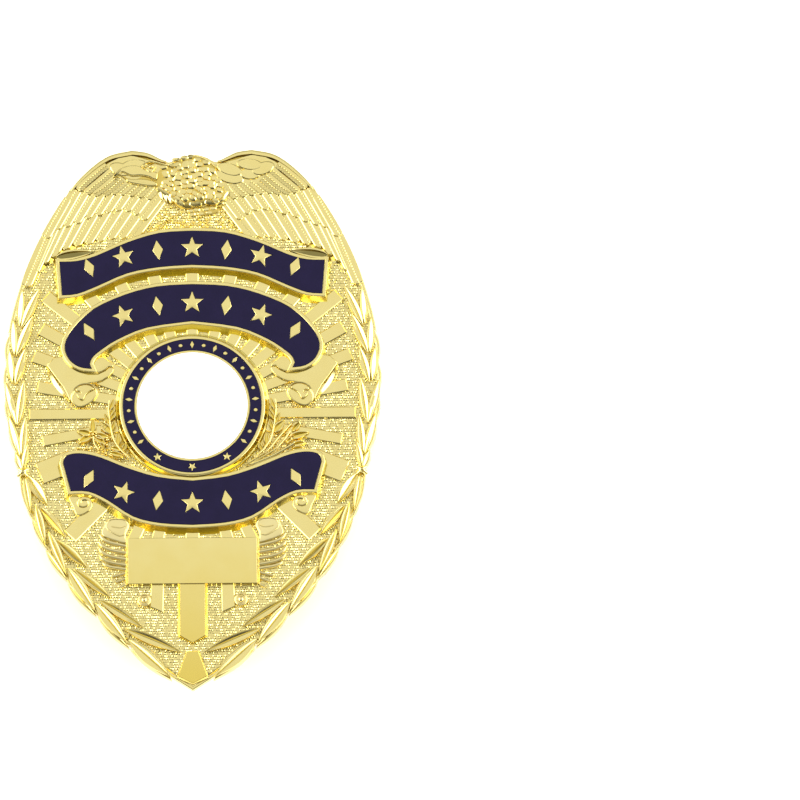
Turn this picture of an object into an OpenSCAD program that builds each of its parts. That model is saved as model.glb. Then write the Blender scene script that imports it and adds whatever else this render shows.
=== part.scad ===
// A pin-back security badge, lying face up on its hinge and catch.
// +X is the wearer's left, +Y points to the eagle and +Z out of the face.
// The origin is under the middle of the badge, on the surface that it rests on.

/* [Plate] */
// Width across the laurel wreath
badge_w = 54; // [50:1:58]
// Height from the bottom point to the wing tops
badge_h = 80; // [76:1:84]
// Thickness of the cast plate up to its stippled field
plate_t = 1.5; // [1.3:0.1:1.6]
// Width of the plain ledge round the plate's edge
ledge_w = 0.4; // [0.3:0.1:0.6]
// Depth of the scallops that the outer leaves give the edge
scallop = 0.4; // [0.2:0.1:0.5]

/* [Enamel] */
// Width of the gold border round each enamel field
border_w = 0.5; // [0.4:0.1:0.6]
// Depth of the enamel in its recess
enamel_d = 0.4; // [0.3:0.1:0.5]
// Radius of the white centre disc
disc_r = 7.9; // [7.5:0.1:8.2]
// Width of the navy band round the disc
band_w = 1.7; // [1.4:0.1:1.8]
// Height of the centre ring above the plate's back
ring_lift = 2.9; // [2.8:0.1:3.2]
// Height of the three ribbons above the plate's back
ribbon_lift = 2.5; // [2.3:0.1:2.7]

/* [Pin] */
// Radius of the pin's wire
wire_r = 0.8; // [0.6:0.05:0.85]
// Length of the pin's point, from the catch's mouth
point_l = 5.8; // [5:0.1:6.5]
// Length of the wire's short end behind the hinge
tail_l = 6; // [3:0.5:8]
// Height of the hinge above the middle of the badge
hinge_y = 27.2; // [26:0.2:28]
// Depth of the catch below the middle of the badge
catch_y = 30.9; // [30:0.1:31.5]

/* [Catch] */
// Outer radius of the catch's housing
housing_r = 3.2; // [3.1:0.05:3.4]
// Length of the housing along the pin
housing_l = 3.4; // [3:0.1:4]
// Distance from the catch's centre to the lever's knob
lever_l = 5; // [4.6:0.1:5.4]

/* [Hidden] */
gold = "#e6c65a";
navy = "#241d4a";
white = "#f6f6f6";
$fn = 64;

// The face was laid out at 54 by 80 mm, and these two stretch every place on it.
sx = badge_w / 54;
sy = badge_h / 80;
SIDES = [-1, 1];
// Clearance between pieces that sit in each other
gap = 0.03;
// Depth to which a raised shape is rooted in the plate
root = 0.5;
// Height by which the ledge round the edge lies under the field
ledge_drop = 0.4;

// Depths under the plate's back of the catch's axis, of the hinge, and of the housing's lips and the ears,
// which rest on the ground
slot_w = 2 * wire_r + 0.4;
catch_drop = 3.3;
hinge_drop = 3.6;
ground_drop = catch_drop + sqrt(housing_r * housing_r - slot_w * slot_w / 4);
back_z = ground_drop;

// Heights of the raised shapes above the plate's back
ray_lift = 1.75;
sprig_lift = 2.0;
rib_lift = 1.95;
bar_lift = 1.95;
bowl_lift = 1.9;
name_plate_lift = 2.2;
tail_lift = 2.1;
ring_ledge_lift = 2.1;
shoulder_lift = 2.4;
head_lift = 2.8;
beak_lift = 3.0;

// Helpers for points and curves
function unit(v) = v / norm(v);
function rot(v, a) = [v[0] * cos(a) - v[1] * sin(a), v[0] * sin(a) + v[1] * cos(a)];
function stretched(points) = [for (p = points) [p[0] * sx, p[1] * sy]];
function mirrored(points) = [for (i = [len(points) - 1 : -1 : 0]) [-points[i][0], points[i][1]]];
function smooth(a, b, c, d, t) =
    b + 0.5 * t * (c - a + t * (2 * a - 5 * b + 4 * c - d + t * (3 * (b - c) + d - a)));
function spline(rows, steps) = [
    for (i = [0 : len(rows) - 2], s = [0 : steps - 1])
        smooth(rows[max(i - 1, 0)], rows[i], rows[i + 1], rows[min(i + 2, len(rows) - 1)], s / steps),
    rows[len(rows) - 1]
];
function through3(p, q, r, t) = p * (1 - t) * (1 - 2 * t) + q * 4 * t * (1 - t) + r * t * (2 * t - 1);
// Moves each side of a counterclockwise outline out by d.
function outset(p, d) = [
    for (i = [0 : len(p) - 1])
        let (a = p[(i + len(p) - 1) % len(p)], b = p[i], c = p[(i + 1) % len(p)],
            u = unit(b - a), v = unit(c - b))
        b + [u[1] + v[1], -u[0] - v[0]] * d / (1 + u * v)
];

// Shapes that repeat
leaf_steps = 6;
leaf_belly = 0.85;
function leaf_side(len, w, side) = [
    for (i = [1 : leaf_steps - 1])
        [len * i / leaf_steps, side * w / 2 * sin(180 * pow(i / leaf_steps, leaf_belly))]
];
// A pointed leaf that grows from its base
function leaf(base, turn, len, w) = [
    for (p = concat([[0, 0]], leaf_side(len, w, -1), [[len, 0]],
        [for (i = [leaf_steps - 2 : -1 : 0]) leaf_side(len, w, 1)[i]])) base + rot(p, turn)
];
// A feather with parallel sides that ends in a round tip
function feather(tip, turn, len, w) = [
    for (p = concat([[-w / 2, len]],
        [for (a = [180 : 30 : 360]) [w / 2 * cos(a), w / 2 + w / 2 * sin(a)]],
        [[w / 2, len]])) tip + rot(p, turn)
];
star_waist = 0.42;
function star(c, r, turn) = [
    for (i = [0 : 9]) c + (i % 2 == 0 ? r : r * star_waist) * rot([0, 1], turn + 36 * i)
];
function lozenge(c, w, h, turn) = [
    for (corner = [[w, 0], [0, h], [-w, 0], [0, -h]]) c + rot(corner / 2, turn)
];
function oval(c, r, turn) = [for (a = [0 : 30 : 330]) c + rot([r[0] * cos(a), r[1] * sin(a)], turn)];

// Left edge of the plate from top to bottom: [height, half width]
EDGE = [[40, 8.6], [39.1, 12.2], [36.2, 15.8], [32, 19.0], [26, 22.3], [20, 24.6], [13, 26.3], [6.5, 26.8],
    [0, 26.4], [-7, 24.9], [-14, 23.1], [-20, 20.5], [-25, 17.2], [-30, 12.7], [-35, 7.3], [-40, 0]];
EDGE_CURVE = stretched(spline([for (row = EDGE) [-row[1], row[0]]], 5));
EDGE_LOOKUP = [for (p = EDGE_CURVE) [p[1], p[0]]];
function edge_at(y) = [lookup(y * sy, EDGE_LOOKUP), y * sy];
// Heights of the notches between the outer leaves
NOTCHES = [12.8, 8.3, 3.8, -0.7, -4.6, -7.6, -11.2, -15.2, -19.4, -24, -29, -33.6, -38];
notch_steps = 4;
function scalloped_edge() = [
    for (i = [0 : len(NOTCHES) - 2], s = [0 : notch_steps - 1])
        let (y = NOTCHES[i] + (NOTCHES[i + 1] - NOTCHES[i]) * s / notch_steps,
            e = edge_at(y), way = unit(edge_at(y - 0.5) - e))
        e + scallop * (sin(180 * s / notch_steps) - 0.5) * [way[1], -way[0]]
];
function left_edge() = concat(
    [for (p = EDGE_CURVE) if (p[1] > NOTCHES[0] * sy) p],
    scalloped_edge(),
    [edge_at(NOTCHES[len(NOTCHES) - 1])]
);
// Top edge between the wings, over the eagle's head: [across, height]
CREST = stretched(spline([[-8.6, 40], [-6.2, 39.6], [-3.6, 38.4], [-1.6, 39.1], [0.3, 39.5], [2.0, 39.1],
    [3.6, 38.4], [6.2, 39.6], [8.6, 40]], 4));
PLATE_OUTLINE = concat(left_edge(), [[0, -40 * sy]], mirrored(left_edge()),
    [for (i = [len(CREST) - 2 : -1 : 1]) CREST[i]]);

// Rays behind the ribbons: [turn above level, end from their centre, half width at the end]
RAYS = [[0, 23.2, 0.76], [10.5, 22.4, 0.86], [21, 24.2, 0.9], [30.5, 25, 0.92], [40, 27.3, 0.95],
    [50, 24, 0.92], [62, 22.5, 0.9], [75, 22.8, 0.9], [90, 22.6, 0.9], [-10.5, 21.6, 0.76],
    [-22, 23.4, 1.6], [-46, 25, 1.12], [-65.7, 21, 0.8], [-75, 21, 0.8], [-90, 21, 1]];
RAY_CENTRE = [0, 0.6];
ray_start = 10;
// Half width of a narrow ray where it starts; a ray wider than ray_broad keeps its width
ray_narrow = 0.72;
ray_broad = 1.1;
// Short bar beside the middle bar, left one
SHORT_BAR = [[-6, -27.9], [-4.2, -28.7], [-4.1, -24.3], [-5.8, -24.3]];

// Laurel: where three leaves spring from the stem, from the tie outward:
// [height, leaf length, leaf width, depth of the stem from the edge]
LAUREL_UP = [[-7.0, 5.2, 1.5, 1.9], [-2.6, 5.4, 1.6, 2.0], [1.9, 5.4, 1.6, 2.0], [6.4, 5.4, 1.6, 2.0],
    [10.8, 5.2, 1.5, 1.9], [15.0, 4.6, 1.3, 1.8]];
LAUREL_DOWN = [[-8.2, 4.6, 1.5, 1.9], [-11.8, 5.0, 1.7, 2.1], [-15.7, 5.6, 1.8, 2.3],
    [-19.9, 6.2, 2.0, 2.4], [-24.4, 6.8, 2.2, 2.5], [-29.2, 7.0, 2.2, 2.5], [-33.6, 6.4, 2.1, 2.4]];
// Tie where the stems meet: [height, depth from the edge], its radii and its lift
TIE = [-7.6, 1.9];
tie_r = [0.8, 0.6];
tie_lift = 2.4;
// The three leaves: [move along in leaf lengths, turn from the stem, move inward in leaf widths, lift]
SPRAY = [[0.10, 17, 0.30, 2.15], [0, 0, 0, 2.3], [0.06, -12, -0.26, 2.05]];

// Left wing, in three rows of feathers: [outermost tip, middle tip, innermost tip,
// turn of the outermost feather, turn of the innermost, length, width, number, lift]
WING = [
    [[-22.2, 21.6], [-17.2, 25.2], [-10.2, 26.9], -20, -36, 8.6, 1.7, 10, 1.9],
    [[-20.3, 27.6], [-14.4, 30.0], [-6.9, 30.2], -34, -34, 6.6, 1.5, 11, 2.15],
    [[-16.2, 33.4], [-11.4, 33.5], [-6.4, 32.9], -56, -34, 4.4, 1.5, 8, 2.3]
];
// Every second feather of a row lies this much higher.
feather_step = 0.08;
// Front edge of the wing, from the shoulder outward and back
SHOULDER = [[-4.4, 37.6], [-8.4, 38.9], [-12.0, 37.7], [-15.0, 35.2], [-16.2, 33.8], [-12, 34.6],
    [-6, 33.6], [-3.6, 34]];
// Eagle's head and breast, and its beak
HEAD = [[-6.6, 37.6], [-4.4, 38.0], [-3.3, 37.7], [-1.8, 38.5], [0.4, 39.0], [2.3, 38.3], [3.8, 36.6],
    [4.8, 34.2], [5.2, 32.4], [4.2, 30.4], [1.6, 29.4], [-1.0, 29.8], [-3.4, 31.6], [-5.4, 33.6],
    [-6.6, 35.4]];
BEAK = [[-6.2, 37.4], [-8.2, 37.7], [-10.2, 37.5], [-11.2, 36.4], [-11.0, 35.4], [-9.6, 36.1],
    [-7.4, 35.6], [-7.0, 34.8], [-9.2, 34.9], [-9.0, 34.3], [-6.4, 33.9], [-4.6, 34.6]];

// Enamel fields of the ribbons, left half: top edge from the middle outward, then bottom edge back
function ribbon(top, bottom) = let (half = concat(spline(top, 3), spline(bottom, 3)))
    stretched(concat(half, [for (p = mirrored(half)) if (p[0] > 0.01) p]));
FIELD_TOP = ribbon(
    [[0, 27.6], [-4.7, 27.3], [-9.3, 25.9], [-13.6, 24.0], [-16.4, 23.2], [-19.0, 23.1]],
    [[-18.6, 18.1], [-16.4, 18.3], [-13.6, 19.4], [-9.3, 21.3], [-4.7, 22.2], [0, 22.5]]);
FIELD_MIDDLE = ribbon(
    [[0, 19.6], [-5, 19.3], [-9.6, 18.1], [-14.0, 16.0], [-17.0, 13.1], [-18.2, 10.6], [-17.6, 8.6],
        [-16.1, 7.4], [-14.3, 7.1]],
    [[-14.6, 7.8], [-14.2, 8.8], [-13.1, 9.8], [-10.7, 11.4], [-6.4, 13.2], [0, 14.1]]);
FIELD_BOTTOM = ribbon(
    [[0, -9.6], [-5, -9.0], [-9.4, -7.6], [-13, -6.1], [-15.3, -5.5], [-17.1, -5.5], [-18.1, -6.0],
        [-18.4, -6.9]],
    [[-17.3, -11.0], [-14.7, -11.1], [-12.0, -12.4], [-8.4, -14.8], [-4.6, -15.8], [0, -16.1]]);
// Bow along which the ornaments of a ribbon stand: [height in the middle, rise per square mm across]
BOW_TOP = [25.05, -0.0133];
BOW_MIDDLE = [16.85, -0.0195];
BOW_BOTTOM = [-12.9, 0.0172];
// Stars and lozenges of bare metal on each side of the middle one, and their pitch
bow_side = 3;
bow_pitch = 4.9;
star_r = 1.7;
LOZENGE = [1.5, 3];
function ornament(bow, i) = let (x = i * bow_pitch, c = [x * sx, (bow[0] + bow[1] * x * x) * sy],
        turn = atan(2 * bow[1] * x))
    i % 2 == 0 ? star(c, star_r, turn) : lozenge(c, LOZENGE[0], LOZENGE[1], turn);

// Loose end of the middle ribbon, left one
TAIL = [[-20.77, 7.81], [-19.72, 8.88], [-18.19, 9.4], [-17.3, 7.9], [-16.03, 6.75], [-13.44, 6.42],
    [-11.86, 7.38], [-11.4, 7.45], [-11.15, 7.1], [-11.3, 6.65], [-11.99, 5.95], [-12.8, 5.42],
    [-14.42, 5.05], [-15.23, 4.92], [-16.04, 4.6], [-16.61, 4.05], [-16.94, 3.38], [-17.11, 2.6],
    [-17.5, 2.55], [-18.3, 3.2], [-19.1, 4], [-19.8, 4.95], [-20.31, 6.03]];
// Rolls at the ribbons' ends: [centre, radii, turn, lift]
ROLLS = [
    [[-16.7, 24.1], [2.3, 0.65], 8, 2.6],
    [[-15.4, 3.3], [1.85, 1.3], 38, 2.3],
    [[-12.9, 8.0], [1.5, 0.8], -15, 2.2],
    [[-15.8, -12.6], [1.6, 1.3], 20, 2.2],
    [[-15.4, -12.6], [1.1, 0.9], 10, 2.3]
];

// Centre ring
RING_C = [0, 1.4 * sy];
band_in = disc_r + 0.3;
band_out = band_in + band_w;
rim_r = band_out + border_w;
ring_ledge_r = rim_r + 0.5;
mark_r = (band_in + band_out) / 2;
// Turns of the ring's three stars, and of the first and last of its marks
RING_STARS = [-123, -90, -57];
ring_star_r = 0.66;
MARKS_FROM_TO = [-36, 216];
mark_count = 25;
MARK = [0.55, 1.15];
dot_r = 0.26;

// Name plate, the bars and the point under it, and the ribs and bosses beside them
NAME_C = [0, -21.3];
NAME_SIZE = [19, 6.8];
BAR = [[2.1, -24], [-2.1, -24], [-2.1, -32.3], [0, -33.4], [2.1, -32.3]];
POINT = [[-1.2, -35.1], [-2.3, -38.3], [0, -39.4], [2.3, -38.3], [1.2, -35.1]];
// [height at the name plate, length, rise of the outer end]
RIBS = [[-19.2, 3.8, 1.2], [-20.2, 3.8, 1.2], [-21.1, 3.8, 1.2], [-22.0, 3.6, 1.1], [-22.65, 3.2, 0.8],
    [-23.2, 2, -0.5], [-24, 1.5, -0.5]];
rib_w = 0.45;
rib_x = 9.2;
// Boss beside the middle bar, left one
BOSS_C = [-6.85, -26.95];
boss_r = 0.95;
// Bowl above the ribs, left one
BOWL = [[-12.9, -16.8], [-12.75, -17.4], [-11.86, -18.1], [-10.77, -18.45], [-9.45, -18.9], [-9.5, -17.67],
    [-9.3, -16.91], [-8.99, -16.28], [-8.92, -15.77], [-9.16, -15.33], [-9.83, -14.94], [-10.86, -14.84],
    [-11.84, -15.05], [-12.39, -15.49]];

// Leaves beside the ring, left ones: [base, turn, length, width]
SPRIG = [[[-11.5, -1.2], 80, 2.4, 0.75], [[-11.9, 0.9], 84, 2.4, 0.75], [[-11.4, 3.0], 70, 2.2, 0.7],
    [[-10.9, -3.3], 62, 2.3, 0.75], [[-13.2, 0.2], 112, 2.2, 0.7], [[-12.6, -1.8], 128, 2.3, 0.75],
    [[-11.4, -4.9], 140, 2.4, 0.75]];
// Buds on the right sprig, and the centre and petal of the flower on the left one
BUDS = [[[13.6, -0.9], 40, 2.3, 0.9], [[13.9, -2.5], 18, 2.4, 0.9], [[13.4, -4.2], 8, 2.3, 0.9]];
FLOWER_C = [-14.1, -2.4];
PETAL = [2.3, 0.8];
petal_start = 0.2;

// Hinge bracket: base, and ears that carry the rivet
bracket_w = 7;
bracket_t = 0.8;
ear_t = 1.3;
ear_in = 1.4;
ear_r = ground_drop - hinge_drop;
heel_l = 4.3;
rivet_r = 0.65;
rivet_head_r = 1;
rivet_head_t = 0.4;

// Pin: its wire turns back round the rivet, runs level past the ears, and bends so that its shaft
// goes through the middle of the catch.
loop_r = rivet_r + wire_r + 0.15;
level_l = 5;
lean = atan((hinge_drop + loop_r - catch_drop) / (hinge_y + catch_y - level_l));
shaft_l = (hinge_y + catch_y - level_l - housing_l / 2) / cos(lean);
// The wire swells a little at its bend.
bend_r = wire_r + 0.03;
neck_r = 0.85 * wire_r;
neck_l = housing_l;
point_r = 0.12;

// Catch: foot, housing with a slot for the pin and one for the lever, and sleeve
foot_w = 8;
foot_l = 5;
foot_t = 0.8;
housing_in = 2.45;
sleeve_r = housing_in - 0.1;
sleeve_bore = wire_r + 0.25;
lever_r = 0.45;
knob_r = 0.65;
lever_slot = 2 * lever_r + 0.4;

// Stands a shape on the plate.
module relief(lift, points) {
    translate([0, 0, back_z + plate_t - root]) linear_extrude(lift - plate_t + root) polygon(points);
}
module both_sides(lift, points) {
    relief(lift, points);
    relief(lift, mirrored(points));
}

module plate() {
    translate([0, 0, back_z]) {
        linear_extrude(plate_t - ledge_drop) polygon(PLATE_OUTLINE);
        linear_extrude(plate_t) polygon(outset(PLATE_OUTLINE, -ledge_w));
    }
}

module rays() {
    for (row = RAYS) {
        near = row[2] > ray_broad ? row[2] : ray_narrow;
        wedge = [[ray_start, -near], [row[1], -row[2]], [row[1], row[2]], [ray_start, near]];
        points = stretched([for (p = wedge) RAY_CENTRE + rot(p, 180 - row[0])]);
        relief(ray_lift, points);
        if (abs(row[0]) != 90) relief(ray_lift, mirrored(points));
    }
}

// Laurel leaves along the left and right edges, where way is 1 upward and -1 downward.
module laurel(rows, way) {
    for (row = rows, s = SPRAY)
        let (e = edge_at(row[0]), along = unit(edge_at(row[0] + 0.4 * way) - e),
            inward = way * [along[1], -along[0]], heading = atan2(along[1], along[0]),
            base = e + inward * (row[3] + s[2] * row[2]) + along * s[0] * row[1])
        both_sides(s[3], leaf(base, heading - way * s[1], row[1], row[2]));
}

module ties() {
    e = edge_at(TIE[0]);
    both_sides(tie_lift, oval(e + [TIE[1], 0], tie_r, 20));
}

module wings() {
    for (row = WING, i = [0 : row[7] - 1])
        let (t = i / (row[7] - 1), tip = through3(row[0], row[1], row[2], t))
        both_sides(row[8] + feather_step * (i % 2),
            stretched(feather(tip, row[3] + (row[4] - row[3]) * t, row[5], row[6])));
    both_sides(shoulder_lift, stretched(SHOULDER));
}

module eagle() {
    relief(head_lift, stretched(HEAD));
    relief(beak_lift, stretched(BEAK));
}

module sprigs() {
    for (s = SPRIG) both_sides(sprig_lift, stretched(leaf(s[0], s[1], s[2], s[3])));
    for (b = BUDS) relief(sprig_lift, stretched(leaf(b[0], b[1], b[2], b[3])));
    for (turn = [18 : 72 : 306])
        relief(sprig_lift,
            stretched(leaf(FLOWER_C + petal_start * rot([1, 0], turn), turn, PETAL[0], PETAL[1])));
}

module ribbons() {
    for (field = [FIELD_TOP, FIELD_MIDDLE, FIELD_BOTTOM]) relief(ribbon_lift, outset(field, border_w));
    both_sides(tail_lift, stretched(TAIL));
    for (r = ROLLS) both_sides(r[3], stretched(oval(r[0], r[1], r[2])));
}

module name_plate() {
    relief(name_plate_lift, stretched([for (corner = [[-1, -1], [1, -1], [1, 1], [-1, 1]])
        NAME_C + [corner[0] * NAME_SIZE[0], corner[1] * NAME_SIZE[1]] / 2]));
    relief(bar_lift, stretched(BAR));
    relief(bar_lift, stretched(POINT));
    for (r = RIBS) {
        middle = [-rib_x - r[1] / 2, r[0] + 0.35 * r[2]];
        end = [-rib_x - r[1], r[0] + r[2]];
        both_sides(rib_lift, stretched([end, middle, [-rib_x, r[0]], [-rib_x, r[0] + rib_w],
            middle + [0, rib_w], end + [0, rib_w]]));
    }
    both_sides(rib_lift, stretched(oval(BOSS_C, [boss_r, boss_r], 0)));
    both_sides(bowl_lift, stretched(BOWL));
    both_sides(ray_lift, stretched(SHORT_BAR));
}

// Marks of bare metal that stand in the ring's enamel, each grown by d
module ring_marks(d) {
    for (turn = RING_STARS)
        polygon(outset(star(mark_r * [cos(turn), sin(turn)], ring_star_r, turn - 90), d));
    for (i = [0 : mark_count - 1]) {
        turn = MARKS_FROM_TO[0] + (MARKS_FROM_TO[1] - MARKS_FROM_TO[0]) * i / (mark_count - 1);
        c = mark_r * [cos(turn), sin(turn)];
        if (i % 2 == 0) polygon(outset(lozenge(c, MARK[0], MARK[1], turn - 90), d));
        else translate(c) circle(r = dot_r + d, $fn = 16);
    }
}

module ring() {
    translate([RING_C[0], RING_C[1], back_z]) {
        translate([0, 0, plate_t - root]) cylinder(r = ring_ledge_r, h = ring_ledge_lift - plate_t + root);
        difference() {
            cylinder(r = rim_r, h = ring_lift);
            translate([0, 0, ring_lift - enamel_d]) {
                difference() {
                    cylinder(r = band_out, h = 1);
                    cylinder(r = band_in, h = 1);
                }
                cylinder(r = disc_r, h = 1);
            }
        }
        translate([0, 0, ring_lift - enamel_d - 0.1]) linear_extrude(enamel_d + 0.1) ring_marks(0);
    }
}

// Soldered to the plate's back, with its feet rooted in it
module hinge_bracket() {
    foot_root = 0.3;
    difference() {
        union() {
            translate([-bracket_w / 2, hinge_y - heel_l, back_z - bracket_t])
                cube([bracket_w, heel_l + ear_r, bracket_t + foot_root]);
            for (side = SIDES) translate([side * (ear_in + ear_t / 2), hinge_y, back_z - hinge_drop])
                rotate([0, 90, 0]) {
                    cylinder(r = ear_r, h = ear_t, center = true);
                    linear_extrude(ear_t, center = true)
                        polygon([[0, ear_r], [-hinge_drop, ear_r], [-hinge_drop, -heel_l], [0, -ear_r]]);
                }
        }
        translate([0, hinge_y, back_z - hinge_drop]) rotate([0, 90, 0])
            cylinder(r = rivet_r + gap, h = bracket_w + 1, center = true);
    }
}

// Soldered to the plate's back too: an open tube on a foot
module catch_housing() {
    foot_root = 0.3;
    translate([0, -catch_y, back_z]) difference() {
        union() {
            translate([-foot_w / 2, -foot_l / 2, -foot_t]) cube([foot_w, foot_l, foot_t + foot_root]);
            translate([0, 0, -catch_drop]) rotate([90, 0, 0])
                cylinder(r = housing_r, h = housing_l, center = true);
        }
        translate([0, 0, -catch_drop]) {
            rotate([90, 0, 0]) cylinder(r = housing_in, h = foot_l + 1, center = true);
            translate([-slot_w / 2, -foot_l, -foot_w]) cube([slot_w, 2 * foot_l, foot_w]);
            translate([0, -lever_slot / 2, -foot_w]) cube([foot_w, lever_slot, foot_w + lever_slot / 2]);
        }
    }
}

module badge_body() color(gold) {
    difference() {
        union() {
            plate();
            rays();
            laurel(LAUREL_UP, 1);
            laurel(LAUREL_DOWN, -1);
            ties();
            wings();
            eagle();
            sprigs();
            name_plate();
            ribbons();
            hinge_bracket();
            catch_housing();
        }
        for (field = [FIELD_TOP, FIELD_MIDDLE, FIELD_BOTTOM])
            translate([0, 0, back_z + ribbon_lift - enamel_d]) linear_extrude(1) polygon(field);
    }
    ring();
    for (bow = [BOW_TOP, BOW_MIDDLE, BOW_BOTTOM], i = [-bow_side : bow_side])
        relief(ribbon_lift, ornament(bow, i));
}

// Enamel of one ribbon, open round the ornaments that stand in it
module ribbon_enamel(field, bow) color(navy)
    translate([0, 0, back_z + ribbon_lift - enamel_d + gap]) linear_extrude(enamel_d - gap) difference() {
        polygon(outset(field, -gap));
        for (i = [-bow_side : bow_side]) polygon(outset(ornament(bow, i), gap));
    }
module ribbon_enamel_top() ribbon_enamel(FIELD_TOP, BOW_TOP);
module ribbon_enamel_middle() ribbon_enamel(FIELD_MIDDLE, BOW_MIDDLE);
// The ring overlaps this ribbon, so its enamel stops short of it.
module ribbon_enamel_bottom() color(navy) difference() {
    ribbon_enamel(FIELD_BOTTOM, BOW_BOTTOM);
    translate([RING_C[0], RING_C[1], back_z]) cylinder(r = rim_r + gap, h = 2 * ring_lift);
}

module ring_enamel() color(navy)
    translate([RING_C[0], RING_C[1], back_z + ring_lift - enamel_d + gap])
        linear_extrude(enamel_d - gap) difference() {
            circle(r = band_out - gap);
            circle(r = band_in + gap);
            ring_marks(gap);
        }

module centre_disc() color(white)
    translate([RING_C[0], RING_C[1], back_z + ring_lift - enamel_d + gap])
        cylinder(r = disc_r - gap, h = enamel_d - gap);

module hinge_rivet() color(gold)
    translate([0, hinge_y, back_z - hinge_drop]) rotate([0, 90, 0]) {
        reach = ear_in + ear_t + gap;
        cylinder(r = rivet_r, h = 2 * reach, center = true);
        for (side = SIDES) translate([0, 0, side * (reach + rivet_head_t / 2)])
            cylinder(r = rivet_head_r, h = rivet_head_t, center = true);
    }

module pin_wire() color(gold)
    translate([0, hinge_y, back_z - hinge_drop]) {
        rotate([90, 0, 90]) rotate_extrude(angle = 180, start = -90)
            translate([loop_r, 0]) circle(r = wire_r);
        for (run = [[loop_r, tail_l], [-loop_r, level_l]])
            translate([0, 0, run[0]]) rotate([90, 0, 0]) cylinder(r = wire_r, h = run[1]);
        translate([0, -level_l, -loop_r]) {
            sphere(r = bend_r);
            rotate([90 - lean, 0, 0]) {
                cylinder(r = wire_r, h = shaft_l);
                translate([0, 0, shaft_l]) rotate_extrude()
                    polygon([[0, 0], [wire_r, 0], [neck_r, neck_l], [point_r, point_l], [0, point_l]]);
            }
        }
    }

module catch_sleeve() color(gold)
    translate([0, -catch_y, back_z - catch_drop]) {
        difference() {
            rotate([90, 0, 0]) cylinder(r = sleeve_r, h = housing_l, center = true);
            rotate([90, 0, 0]) cylinder(r = sleeve_bore, h = housing_l + 1, center = true);
            translate([-slot_w / 2, -housing_l, -foot_w]) cube([slot_w, 2 * housing_l, foot_w]);
        }
        lever_root = sleeve_bore + 0.4;
        translate([lever_root, 0, 0]) rotate([0, 90, 0]) cylinder(r = lever_r, h = lever_l - lever_root);
        translate([lever_l, 0, 0]) sphere(r = knob_r);
    }

badge_body();
ribbon_enamel_top();
ribbon_enamel_middle();
ribbon_enamel_bottom();
ring_enamel();
centre_disc();
hinge_rivet();
pin_wire();
catch_sleeve();
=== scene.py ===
"""Visual model of the security badge. Places are in mm, in the CAD part's frame, until a piece's mesh is made."""
import random
from math import asin, atan, atan2, cos, degrees, exp, hypot, pi, radians, sin, sqrt

import bmesh
import bpy
import numpy as np
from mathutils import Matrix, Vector


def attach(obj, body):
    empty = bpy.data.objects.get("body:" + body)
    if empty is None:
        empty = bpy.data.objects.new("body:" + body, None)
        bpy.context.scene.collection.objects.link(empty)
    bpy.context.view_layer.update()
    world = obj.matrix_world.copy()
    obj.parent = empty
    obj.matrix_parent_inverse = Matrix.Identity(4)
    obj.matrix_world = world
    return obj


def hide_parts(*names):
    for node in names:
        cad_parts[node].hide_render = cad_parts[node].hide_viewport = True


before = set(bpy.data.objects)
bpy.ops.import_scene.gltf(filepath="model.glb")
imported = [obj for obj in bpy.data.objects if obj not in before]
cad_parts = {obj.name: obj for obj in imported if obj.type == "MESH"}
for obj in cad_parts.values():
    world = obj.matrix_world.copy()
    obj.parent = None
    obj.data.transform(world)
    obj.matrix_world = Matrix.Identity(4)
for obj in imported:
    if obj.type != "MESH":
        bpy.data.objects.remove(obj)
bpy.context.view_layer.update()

MM = 0.001

# ---- sizes
WIRE_R, RIVET_R, POINT_L = 0.8, 0.65, 5.8
SLOT_W = 2             # mouth of the housing and of the sleeve
LEVER_GAP = 1.3        # slot of the housing for the lever
HOUSING_R, HOUSING_IN, HOUSING_L = 3.2, 2.45, 3.4
SLEEVE_R, SLEEVE_BORE = 2.35, 1.05
HINGE_Y, CATCH_Y = 27.2, -30.9
HOLE_R = 0.68          # holes of the hinge's ears
HINGE_DROP, CATCH_DROP = 3.6, 3.3       # of their axes below the plate's back
BACK = CATCH_DROP + sqrt(HOUSING_R ** 2 - (SLOT_W / 2) ** 2)    # height of the plate's back above the ground
HINGE_Z, CATCH_Z = BACK - HINGE_DROP, BACK - CATCH_DROP
SOLE, SUNK = 0.8, 0.2  # plates under hinge and catch: thickness, and how far they reach into the badge's plate
PLAY = 0.15            # between the rivet and the wire round it
FLOOR = 0.9            # height above the plate's back at which raised shapes start, inside the plate
LEDGE, FIELD = 1.1, 1.42
BORDER = 0.5           # metal round the enamel of a ribbon
RIBBON, RING = 2.5, 2.9
ENAMEL_D = 0.4         # depth of the enamel's recesses
LIP = 0.03             # metal that stands proud of the enamel
DISC_R, BAND_IN, BAND_OUT, RIM_R, RING_LEDGE_R = 7.9, 8.2, 9.9, 10.4, 10.9
RING_C = np.array((0, 1.4))


# ---- plane geometry
def thickness(*parts):
    """Thickness along a path, in parts that each give a first and a last value and a number of points."""
    return np.concatenate([np.linspace(*part) for part in parts])


def rot(p, turn):
    p = np.asarray(p, float)
    c, s = cos(radians(turn)), sin(radians(turn))
    return np.stack([p[..., 0] * c - p[..., 1] * s, p[..., 0] * s + p[..., 1] * c], -1)


def angles(n):
    """A full turn in n steps."""
    return np.radians(np.arange(n) * 360 / n)


def mirrored(p):
    return np.asarray(p, float)[::-1] * (-1, 1)


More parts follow.
